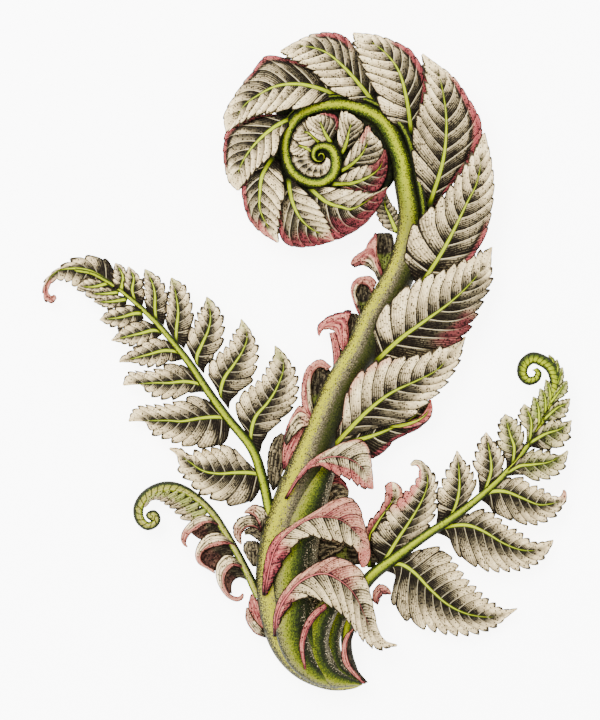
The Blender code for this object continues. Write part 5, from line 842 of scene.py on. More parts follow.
# Side fronds
leftLeaflets = [
    outline("125.3,138.2 125.7,144.9 128,152 133.8,158.7 138.7,166.8 141.8,177.5 137.3,187.3",
            "123,143.6 119,150.7 118.8,157.9 123,163.2 130.2,168.6 133.8,173.9 136.9,181.1 137.2,187",
            "130.2,133.7 131.1,139.1 135.5,145.4 143.6,154.3 147.1,161.4 147.6,168.6 "
            "146.3,174.8 143.6,181.1 140,185.5 137.5,187.4",
            (12, 13.6, 6.5), depth=0.9),
    outline("110.5,160.5 110.4,165 112.3,171.2 116.8,177.5 121.3,184.6 123.5,191.8 120.4,200.7",
            "107.9,165.9 104.7,171.2 105,176.6 108.8,181.1 114.1,185.5 116.8,190 119.5,196.2 120.2,200.3",
            "114.6,155.2 115,159.6 119.5,164.1 124.8,169.5 126.6,175.7 "
            "127.7,182.9 127.1,189.1 124.8,195.4 120.8,200.7",
            (13.2, 14.6, 6), depth=0.9),
    outline("98.5,177.1 98.5,182 101.2,188.2 104.3,195.4 105.2,202.5 103.2,211.9",
            "95.8,182 93.6,187.3 94.5,191.8 98,197.1 100.7,203.4 102.3,208.7 103,211.6",
            "102.1,173 102.5,176.6 105.2,180.2 109.2,186.4 110.7,193.6 "
            "110.5,200.7 108.8,205.2 106.1,209.6 103.4,211.9",
            (14, 15, 6.5), depth=0.9),
    outline("88,189.6 88.2,195.4 89.1,204.3 87.8,213.2 85.5,221.4",
            "83.8,195.4 83.3,200.7 84.6,207.9 85.1,214.1 84.9,219.5 85.3,221.2",
            "92.2,185.5 93.6,191.8 95.4,198.9 95.2,206.1 93.6,212.3 90.9,217.7 86,221.4",
            (13.8, 15, 7), depth=0.9),
    outline("78,200.7 77.5,206.1 77.5,213.2 75.7,219.5 72.1,225.7",
            "73.5,204.3 73,210.5 72.9,216.8 72,222.1 71.9,225.3",
            "82,197.1 82.4,202.5 83,209.6 82,215 79.3,220.4 75.7,223.9 72.6,225.7",
            (13.2, 14.4, 7), depth=0.9),
    outline("67.2,210.5 66.1,215 66.8,221.3 63.9,227",
            "62.3,214.1 62.8,219.5 63.5,226.4",
            "71.4,207 71.7,213.2 70.4,219.5 67.7,223.9 64.3,227",
            (12, 13, 7), depth=0.9),
    outline("60.5,215 61.4,222.1 57.4,228.6",
            "56.5,216 57,222 57,228.2",
            "64,213 63.9,221 61.5,226.5 57.8,228.8",
            (10.8, 11.6, 7), depth=0.9),
    outline("132,119.5 128.8,122.8 124.3,123.7 117.1,123.7 110,123.2 "
            "102.9,124.1 98.4,126.3 95.3,128.6 84.4,135.7",
            "131.5,118.5 130.5,117 129.6,113.8 126.1,109.6 121.6,108.8 115.4,108.8 106.4,112.4 "
            "99.3,115.2 96.6,119.2 91.2,123.6 89.5,128.6 87.7,132.6 84.3,135.4",
            "131,122 127,125.9 121.6,131.2 117.1,135.3 112.7,136.2 108.2,134.8 "
            "103.8,133.9 98.4,133 94.8,132.1 90.4,135.3 84.9,136.2",
            (10.4, 12.4, 12.4, 9.6, 4.5), (10, 9.8, 9, 7, 4.5), (10.2, 10.4, 10, 7.6, 4.5), depth=1),
    outline("115,148.9 112.3,150.9 107.9,151.6 99.8,150.9 90.9,149.4 82.9,149.8 63.9,149.4",
            "115,145.4 114.1,140.9 110.5,137.8 106.1,137.3 97.1,137.9 89.1,139.6 "
            "83.8,141.8 77.5,144 72.1,148.9 68.6,150.3 64.1,149.1",
            "109.6,155.6 104.3,159.6 98,161.4 91.8,159.2 84.6,157 "
            "77.5,156.5 70.4,156.1 65.9,153.4 63.9,149.8",
            (12.8, 14.2, 4), depth=0.9),
    outline("102.5,166.8 98,168.6 91.8,169.3 84.6,168.6 77.5,168.6 61.3,167.5",
            "103.8,163.7 98,164.5 91.8,163.2 86.4,161.6 80.2,162.3 73.9,165 68.6,168.1 61.4,167.2",
            "97.6,173.5 92.7,176.6 86.4,177.5 79.3,174.4 72.1,173.5 65.9,173.5 62.3,170.4 61,167.7",
            (13.8, 15, 5), depth=0.9),
    outline("89.6,183.3 86.4,184.5 81.1,184.6 73,182.4 59.2,179",
            "92.7,180.2 86.4,180 80.2,178.4 73,178.1 66.8,178.8 59.6,178.8",
            "88.2,185.5 83.8,189.1 78.4,190.4 72.1,187.8 65,183.8 60.5,181.5 59.2,179.3",
            (13.8, 15, 6), depth=0.9),
    outline("80.2,194.3 76.6,194.9 69.5,193.1 55.2,189.8",
            "81.1,192.7 75.7,189.6 68.6,188.2 61.4,188.7 55.4,189.6",
            "77.5,197.6 72.1,199.4 66.8,198 61.4,195.4 55.6,190.4",
            (13.4, 14.4, 6.5), depth=0.9),
    outline("71.3,203.4 66.8,203.2 59.6,201.2 49.4,200.3",
            "72.1,200.7 66.8,198 59.6,197.1 53.4,198.2 49.4,200",
            "70.4,206.5 65,207 59.6,205.9 53.4,203.8 49.8,200.7",
            (12.4, 13.4, 7), depth=0.9),
    outline("63.7,210.5 55.2,209.2 46.7,209.2",
            "63,207 57,206 51.6,207 46.6,209",
            "62,212 55,212.4 49,211 46.5,209.5",
            (11, 12, 7), depth=0.9),
    outline("59.6,214.1 52.5,213.2 44,213.2",
            "59,211.5 52.5,210.8 46,211 43.7,213",
            "57,216 50,216.2 45,214.8 43.7,213.5",
            (10.4, 11.2, 7), depth=0.9),
    outline("54.3,218.6 46.3,216.6 38.4,217.1",
            "54,215.6 47.5,214.2 41,215.4 38.3,216.8",
            "52,220 45,220.4 40,218.8 38.3,217.4",
            (9.6, 10.4, 7), depth=0.9),
    outline("57,217 53.4,219.5 46.3,223.9 40,225.7 34.6,225.9 28.4,224.8 "
            "23.5,219.5 22.6,214.1 24.8,210.5 27.1,212.3",
            "54,213.6 46.3,211.4 43.6,213.2 38.2,217.2 34.6,220.2 28.4,220.8 "
            "24.8,217.7 23.9,214.1 25.3,212.3 26.8,213",
            "57.6,224 53.4,229.7 45.8,231.1 40.9,230.8 35.5,229.3 31.5,227.5 26.6,224.4 "
            "22.6,220.4 21.3,215 22.1,210.5 25.3,208.7 27.9,210.5 27.6,212.6",
            (10.4, 8.8, 6.5, 5, 5.5), (10, 7.2, 5, 5, 6.5), (10, 7.2, 5, 5, 6.5), depth=0.8, arch=0.6),
]
leftRachis = {
    "plan": "137.5,98 134.6,105.4 131.4,120 126,135.7 114.1,150.7 104.3,164.1 95.4,177.5 86.4,189.1 "
            "77.5,199.4 68.6,207.9 59.6,215.4 52.5,219.9 45.4,223.5 37.3,225",
    "width": [2.8, 2.66, 2.38, 2.1, 1.68, 1.26, 0.98], "z": [8.5, 10.2, 12, 13.4, 14, 13.4, 12, 10, 7.6],
}
leafletPlain = {"room": 4.5, "teeth": [0, 0.45, 0.62, 0.78, 0.88, 1.0, 0.95, 0.6], "columns": 7, "slant": 1.5,
                "relief": 0.28, "thick": 0.45, "bite": 2.1, "biteRight": 1.8, "lean": 0.8, "taper": 2.4}
leafletLobe = 5.6
leafletPaintedShade = [upTo(0.2, 0.8), (-1, 0.6, -0.6, 0.6, 0.22), overAll(0.06)]


def leafletLook(leaf, blush, paintedShade, flush):
    lobes = max(5, int(round(Trace(leaf["mid"]).length / leafletLobe)) + 1)
    return dict(leafletPlain, lobes=lobes, blush=blush, paintedShade=leafletPaintedShade + paintedShade, flush=flush)


def buildLeft():
    skin = leafPaint("leaflet skin", 6.0, 0.7, lobed=0.5)
    body = bmesh.new()
    for number, leaf in enumerate(leftLeaflets):
        flush = [beyond(0.86, 0.55)] if number < 5 else []
        paintedShade = [(-1, 0.45, -2, 0, 0.35)] if number < 7 else [upTo(0.4, 0.25)]
        blush = []
        if number == len(leftLeaflets) - 1:
            blush, paintedShade = [beyond(0.72, 0.85)], []
        addBlade(body, leaf, leafletLook(leaf, blush, paintedShade, flush))
    finishPiece(body, "leftLeaflets", skin, "leaf", "left_frond")
    body = bmesh.new()
    addTube(body, leftRachis["plan"], leftRachis["width"], leftRachis["width"], leftRachis["z"], 150, 16)
    finishPiece(body, "leftRachis", stemPaint("rachis skin", rachisStops, 3.0, 0.3), "leaf", "left_frond")


rightLeaflets = [
    outline("184.3,76 184.6,90 189.1,99.1 193.9,105.8 197.4,112 196.4,118.8",
            "182.8,77 182,90 184.3,98.2 189.1,103.9 192.5,110.6 193,117.3 195.8,119.4",
            "187.6,76.5 188,88 193,97 198,104 201.3,112.5 199.7,117.3 196.8,119.2",
            (10.6, 11.6, 11.4, 9.6, 8), (10.2, 9.6, 9.4, 9, 7.8),
            (10.2, 9.6, 9.4, 8, 7.4), depth=0.6, arch=0.5),
    outline("191,78 193,80.9 198.7,90.5 204.4,99.1 210.2,108.7 "
            "213.5,117.3 213,124 209.2,128.8 205.4,127.3",
            "189.5,79 185.8,85.7 186,91.5 190.1,97.2 193,98.6 193.9,103.9 199.2,108.7 "
            "203.5,113.5 207.3,117.3 209.7,123 208.7,126.9 205.4,126.9",
            "193,79.5 201,84 208.3,90.5 213,96.3 216.4,103.9 217.1,111.6 217.4,119.2 "
            "215,125 211.1,129.3 207.3,130.2 204.8,127.9",
            (11.8, 15.5, 17, 15.5, 13), (12, 15.6, 16.4, 15, 13),
            (11.4, 13, 14, 14, 13), depth=0.9, arch=0.6),
    outline("191.4,75.2 197.7,78.1 202.5,77.1 208.3,72.8 215,65.6 223.6,58 "
            "233.1,53.2 243.7,51.3 252.3,52.3 259,55.3",
            "192.4,78 200.6,80.9 206.4,83.8 213,85.7 218.8,85.7 222.4,81.9 226.4,77.1 "
            "231.2,69.5 236,64.7 240.8,59.9 246.5,56.6 252.3,54.9 259.2,55.7",
            "192,74.6 197.3,72.3 196.3,66.6 195.4,60.9 201.6,53.2 208.3,49.4 214,47.5 222.6,45.1 "
            "231.2,44.1 239.8,45.1 248.4,47.5 254.2,51.3 259.1,54.9",
            (12, 14.4, 13.4, 9.4, 3.6), (11.6, 10.8, 10, 7.4, 3.6),
            (11.6, 10.6, 7.6, 5, 3.6), depth=1.3, arch=0.9),
    outline("217.5,95.3 227.4,97.4 235,97.2 242.7,93.9 252.3,88.1 261.8,84.8 271.4,85.3 277.1,89.7",
            "218,97 231.2,101.5 237,103.9 242.7,103.9 248.9,99.6 252.3,95.8 "
            "258,93.4 262.8,89.6 268.5,88.1 276.9,90",
            "217.2,93.6 223.6,91.5 226.4,85.7 229.3,82.4 235,79.5 242.7,76.6 251.3,76.2 "
            "259,76.6 265.7,78.1 272.4,81.9 276.2,86.7 277.2,89.4",
            (13.2, 15, 13.6, 10, 5), (12.6, 11.6, 10.4, 8, 5), (12.8, 12, 9.6, 7, 5), depth=1.1),
    outline("240.6,112 246.5,114.4 253.2,114.2 260.9,111.1 269.5,107.7 "
            "278.1,108.7 282.9,111.6 282.2,114.9",
            "240.5,113.6 249.4,118.7 254.2,120.6 260.9,120.2 263.7,117.3 "
            "269.5,114.9 275.2,112 280,111.6 281.4,113.5 281.6,115",
            "239.6,110.4 243.7,107.7 246.5,103.9 252.3,102 259.9,99.6 268.5,99.3 "
            "276.2,102.5 280,105.8 283.4,109.6 283.6,113.5 282.6,115.2",
            (14.6, 16, 14.4, 10.6, 6.5), (14, 13, 11.6, 9.6, 6.5),
            (14.2, 13, 10.6, 8, 6.5), depth=0.9, arch=0.7),
    outline("224.6,100.6 227.9,107.7 229.5,115.4 229.5,124 228.5,135",
            "217.8,97.7 219.3,103.9 219,110.6 221.7,117.3 224.5,124 226.9,130.7 228.3,134.7",
            "231.2,105.8 236,113.5 236.7,118.3 234.6,124 232.2,128.8 229.3,134.2",
            (13.6, 15.6, 9), depth=0.9),
    outline("242.4,114.6 245.1,123 245.4,128.8 244.2,137 243.1,144.1",
            "239.2,113.6 239.8,120.2 237.7,126.9 239.4,133.6 240.8,140.3 242.8,143.9",
            "246.5,119 249.9,123 251.1,128.8 249.9,133.6 246.5,139.3 243.5,143.9",
            (14.7, 16.4, 9), depth=0.9),
    outline("256.2,128.4 256.9,136.4 255.1,142.2 253.7,147.9 252.7,153.2",
            "253,125.4 253.2,130.7 250.2,136.4 250.4,142.2 250.2,148.9 252.4,153",
            "258.4,131 259.9,133.6 261.4,139.3 260.4,144.1 257.1,149.8 253.2,153",
            (15, 16.4, 9), depth=0.9),
    outline("264.8,139.4 265.5,148.9 263.7,154.6 262.1,158.2",
            "262.8,137.4 263.3,144.1 260.7,148.9 260.4,154.6 261.8,158",
            "267,142.4 268.1,146 269,150.8 266.6,154.6 262.6,158",
            (14.6, 15.6, 10), depth=0.7),
    outline("269.4,147.4 269,156.5 266.6,161.8",
            "267.6,144.8 265.8,152.7 266,158.4 266.4,161.6",
            "271,149.6 272.4,156.5 270,160 266.9,161.8",
            (14.3, 15, 10), depth=0.5),
    outline("272.6,153.6 272.4,161.5 270,165.9",
            "271.2,150.8 269.4,159.4 269.6,165.7",
            "274,155.6 274.8,162.7 270.3,165.9",
            (13.8, 14.6, 10.5), depth=0.4),
    outline("275.3,159.5 274.6,166 272.8,170.4",
            "274.2,157.4 272.2,164 272.6,170.2",
            "276.2,161 276.2,167.6 273.1,170.4",
            (13.4, 14, 10.8), depth=0.4),
    outline("252.6,123.4 259.4,127.1 265.7,127.8 275.2,129.3 284.3,134.7",
            "254.6,126.4 260.9,131.6 265.7,134 271.4,133.6 277.1,132.6 281,132.8 284,134.9",
            "252,121.6 259.9,123 265.7,120.9 273.3,121.6 278.1,124 281.4,126.9 284.1,132.6 284.5,134.4",
            (14.9, 16.2, 8), depth=0.9),
    outline("264.4,138.6 272.4,143.1 280,145.5 286.2,149.8",
            "266,142.2 272.4,147.9 277.1,149.3 281.9,148.9 286,150.1",
            "264.4,136.6 273.3,135.7 279.1,137.4 283.8,142.2 286.2,149.4",
            (14.7, 15.6, 8.5), depth=0.9),
    outline("271.6,150.4 278.1,156 282.9,158 285.3,160.8",
            "273,154.4 278.1,158.9 281.4,159.9 285,161",
            "271.6,149.2 277.1,150 281,151.7 284.3,156.5 285.5,160.6",
            (14.2, 15, 9), depth=0.7),
    outline("274.8,158.6 280,165.1 283.8,169.7",
            "275.8,162.6 281,168.5 283.6,169.9",
            "274.8,157 280,160.8 283.4,164.2 284.3,168.9",
            (13.6, 14.4, 9.5), depth=0.6),
    outline("276.8,165 280,172.5 281.4,176.4",
            "277,168.5 279.5,175 281.2,176.6",
            "276.8,163.6 281,168.5 282,173 281.7,176.2",
            (13, 13.6, 10), depth=0.5),
    outline("277.4,170.4 278.8,177 278.6,180.4",
            "276.4,172.6 277.4,178.6 278.3,180.4",
            "278,169.6 280,176 279,180.3",
            (12.6, 13.2, 10.5), depth=0.4),
    outline("275.5,175.5 276.3,179.5 274.4,182.6",
            "275.1,175.6 274.7,177.1 274.7,178.3 274.7,179.2 274.8,179.8 274.5,181 274,182.4",
            "275.9,175.4 276.8,176.5 277.5,177.7 277.7,179.4 276.9,181.1 275.8,182 274.8,182.8",
            (12.4, 12.8, 11), depth=0.4),
]
rightRachis = {
    "plan": "176.8,24 173.8,33 173.4,43 176,56 184.3,70.4 198.7,81.9 213,92.4 227.4,102 239.8,111.6 "
            "252.3,123 261.8,134.5 269.5,146 274.3,155.6 277.1,165.1 277.6,170.9 275.2,176.6 270.4,180 "
            "265.7,180.9 261.8,177.6 261.2,172.8 264.2,169.6 268,170.6 269.2,173.8 267.2,175.6",
    "width": [2.43, 2.94, 3.46, 2.94, 2.43, 2.18, 1.92, 1.79, 1.92, 2.94, 2.94, 1.54],
    "height": [2.4, 2.9, 3.3, 2.9, 2.4, 2.1, 1.9, 1.7, 1.9, 2.4, 2.0, 1.2],
    "z": [5, 7, 9, 10.8, 12.4, 13.8, 14.8, 15, 14.6, 13.8, 13, 12.4, 12, 12, 12.4, 13],
}
# By a leaflet's number: where it is pink, and where it is green
rightBlush = {0: [(-1, 2, 0.2, 2, 0.9), (0.6, 2, -2, -0.6, 0.8)], 1: [(0.5, 2, 0.55, 2, 0.95)],
              4: [beyond(0.9, 0.7)]}
rightFlush = dict.fromkeys((9, 10, 11, 15, 16, 17, 18), overAll(0.8))
rightFlush.update(dict.fromkeys((8, 14), overAll(0.35)))
rightFlush.update(dict.fromkeys((7, 12, 13), beyond(0.3, 0.3)))
coilScales = {"first": 0.70, "last": 0.92, "count": 11, "long": 9.5, "wide": 3.4, "lift": 3.4}
scaleLook = {"lobes": 6, "teeth": [0, 0.6, 1, 0.6], "columns": 6, "slant": 0.8, "relief": 0.1, "thick": 0.9,
             "bite": 0.5, "flush": [overAll(0.95)], "paintedShade": [upTo(0.2, 0.8), (-1, 2, -2, -0.6, 0.7)]}


def buildRight():
    skin = leafPaint("right leaflet skin", 6.0, 0.7, lobed=0.5)
    body = bmesh.new()
    for number, leaf in enumerate(rightLeaflets):
        paintedShade = [(-1, 0.6, -2, 0.2, 0.7)] if number == 0 else [upTo(0.4, 0.3)]
        flush = [rightFlush[number]] if number in rightFlush else []
        addBlade(body, leaf, leafletLook(leaf, rightBlush.get(number, []), paintedShade, flush))
    finishPiece(body, "rightLeaflets", skin, "leaf", "right_frond")
    body = bmesh.new()
    line = Trace(rightRachis["plan"])
    for u in np.linspace(coilScales["first"], coilScales["last"], coilScales["count"]):
        at, way = line.at(u), line.heading(np.array(u))
        aside = np.array([way[1], -way[0]])
        grow = 1.15 - u
        end = at + (way * 0.7 + aside * 0.75) * coilScales["long"] * grow
        addBlade(body, makeBean(at, end, coilScales["wide"] * grow, coilScales["lift"]), scaleLook)
    finishPiece(body, "rightScales", leafPaint("scale skin", 4.0, 0.0, True), "leaf", "right_frond")
    body = bmesh.new()
    # the slanting bands begin where the rachis curls
    banded = comesIn(260, 0.70, 0.08)
    addTube(body, line, rightRachis["width"], rightRachis["height"], rightRachis["z"], 260, 20, banded)
    skin = stemPaint("right rachis skin", rachisStops, 3.0, 0.3, twist=0.42)
    finishPiece(body, "rightRachis", skin, "leaf", "right_frond")


# Young crozier at the lower left
youngCurls = [
    outline("109,98 104.8,100.2 100.4,100 96,97.4 92.6,93.4 91.4,90 92.3,87.6 93.8,86.3",
            "110,96.6 104.8,98.5 101.2,97 98.8,95.2 96.4,94.2 93.9,91.2 93,88.4 93.9,86.5",
            "108.6,99.7 104.8,102 100,102.3 95.8,99.9 91.5,95 90.2,90.6 91.4,87.4 93.6,86",
            (9.5, 11.5, 11.6, 10, 8), (9, 9.6, 9.6, 9, 7.6), (8.4, 9, 9, 8, 7.4), depth=0.5, arch=0.7),
    outline("118,87.2 113,90.2 108.4,90.4 103.8,88.6 100,84.6 99,80.4 101,77.4 104.2,75.8 107.6,73.2",
            "119,86 113.3,87.6 108.5,86.7 104.8,85.8 101.8,83.9 100.6,80.9 "
            "101.8,78.5 104.5,76.5 107.6,73.5",
            "117.4,88 112.7,92.4 108.5,93.8 104.2,93.2 100.4,90.2 98,85.8 "
            "97.4,81.5 99.2,77.7 103.4,75.2 107.4,72.8",
            (9.5, 11.5, 11.6, 10.4, 8), (9, 9.6, 9.6, 9, 7.6), (8.4, 9, 9, 8, 7.4), depth=0.5, arch=0.7),
    outline("123.6,75.4 118.6,78.6 114.4,79 110.8,75 110.2,69.4 112.2,64.6 115.2,61.5 118.8,60.4 121.6,63",
            "124,74 118.2,76.7 115.2,75.5 113.3,73 112.4,69.4 113.9,64.5 116.4,62.1 119.2,61.6 121.3,63.4",
            "122.8,76.8 119.4,79.9 115.8,82.3 112.1,82.3 108.9,79.1 107.7,75.5 108.3,69.4 "
            "110.7,64.3 113.9,60.7 118.2,58.9 121.4,60.2 122.1,63",
            (9.5, 11.5, 11.6, 10.4, 8.4), (9, 9.6, 9.6, 9, 8), (8.4, 9, 9, 8, 7.8), depth=0.5, arch=0.7),
    outline("111,96 105.5,95.6 100.6,94 96.4,92.6",
            "109.6,98.6 104.8,99.2 99,96.8 95,93.4",
            "112.4,93.4 106,92.6 102,90.6 99.6,90.2 96.6,92.2",
            (7.6,), (8.4, 8.4, 8, 7.6), (7, 7, 7, 7.4), arch=0),
    outline("119,84.4 113,84.6 108,82.8 104,79.6 105.6,75.6",
            "118.4,86.8 112,88.2 105,87.2 100,83.6 99.8,79 103.6,75.6",
            "120.4,81.6 113.6,82 110.6,80 108.4,76 107.2,74",
            (7.6,), (8.4, 8.4, 8, 7.6), (7, 7, 7, 7.4), arch=0),
    outline("125.4,71 120,73.4 115,72 113,68 114.2,63.4",
            "124,75 118.2,77.6 112.8,75.4 111,69.4 113.2,63.6",
            "127,66 123.8,69 120,70.8 117,69.4 115.8,66.4 116,62.8",
            (7.6,), (8.4, 8.4, 8, 7.6), (7, 7, 7, 7.4), arch=0),
]
youngRachis = {
    "plan": "129.5,61.5 127,66.4 124.2,72.4 118.2,84 112.7,93.6 106.7,102.7 99.4,110 91.5,114.9 "
            "84.2,116.4 77.6,114.9 72.1,111.2 69.1,105.8 69.7,100.3 73.3,96.9 77,97.9 78.4,100.6 "
            "76.8,103.2 74.2,102.2 76.4,100.6 77,102.4",
    "width": [2.38, 2.12, 2, 2, 2.25, 3, 2.75, 2.12, 1.38], "z": [9, 8.6, 8.2, 8, 7.6, 7.2, 7.4, 8.4],
}
# Each scale of the young coil: where it starts, where it ends, and its half width
youngBeans = [
    ((102.4, 105.2), (89.8, 100.8), 2.7), ((98.8, 108.5), (87, 103.5), 2.6),
    ((95.5, 111.5), (84.4, 106.1), 2.4), ((91.8, 113.3), (81.9, 107.7), 2.2),
    ((87.9, 114.1), (79.7, 109.3), 2), ((83.6, 114.4), (77.6, 110.1), 1.8),
    ((79.7, 113.9), (75.2, 109.9), 1.6), ((76.1, 112.4), (72.9, 108.7), 1.4),
    ((73.6, 110), (72, 106.2), 1.2),
]


def makeBean(start, end, width, lift):
    # a plump scale between two spots, bowed a little and round at both ends
    start, end = np.array(start), np.array(end)
    way = (end - start) / np.linalg.norm(end - start)
    start = start - way * 3.0
    aside = np.array([-way[1], way[0]])
    u = np.linspace(0, 1, 9)[:, None]
    mid = start + (end - start) * u + aside * width * 0.35 * np.sin(math.pi * u)
    bulge = aside * width * np.sin(math.pi * np.clip(u, 0.02, 0.98)) ** 0.5
    z, rim = np.array([8.2, 9.6, 9.4, 7.8]) + lift, [8.0, 8.4, 8.2, 7.6]
    return outline(mid, mid + bulge, mid - bulge, z, rim, rim, depth=0.5, arch=0.5)


curlLook = {"lobes": 16, "teeth": [0, 0.5, 1.0, 0.6], "columns": 8, "slant": 0.8, "relief": 0.12,
            "thick": 0.5, "biteRight": 0.1, "paintedShade": [upTo(0.2, 0.5)],
            "blush": [(-1, 2, 0.35, 2, 0.9), beyond(0.62, 0.8)]}
innerCurlLook = dict(curlLook, bite=0.0, paintedShade=[overAll(0.8)], blush=[beyond(0.5, 0.3)])
beanLook = {"lobes": 8, "teeth": [0, 0.6, 1, 0.6], "columns": 7, "slant": 0.6, "relief": 0.1, "thick": 1.2,
            "bite": 0.4, "flush": [(-1, 0.62, -0.6, 0.8, 0.8)],
            "paintedShade": [upTo(0.2, 0.9), (-1, 2, -2, -0.55, 0.9), (-1, 2, 0.82, 2, 0.5), overAll(0.16)]}


def buildYoung():
    body = bmesh.new()
    for number, curl in enumerate(youngCurls):  # the first three are the outer curls
        addBlade(body, curl, curlLook if number < 3 else innerCurlLook)
    finishPiece(body, "youngCurls", leafPaint("curl skin", 7.0, 0.0, True), "bract", "young_crozier")
    body = bmesh.new()
    for start, end, width in youngBeans:
        addBlade(body, makeBean(start, end, width, 0.8), beanLook)
    finishPiece(body, "youngBeans", leafPaint("bean skin", 4.0, 0.0, True), "bract", "young_crozier")
    body = bmesh.new()
    width, banded = youngRachis["width"], comesIn(240, 0.4, 0.2)
    addTube(body, youngRachis["plan"], width, width, youngRachis["z"], 240, 24, banded)
    skin = stemPaint("young rachis skin", youngStops, 6.0, 0.4, twist=0.3)
    finishPiece(body, "youngRachis", skin, "bract", "young_crozier")


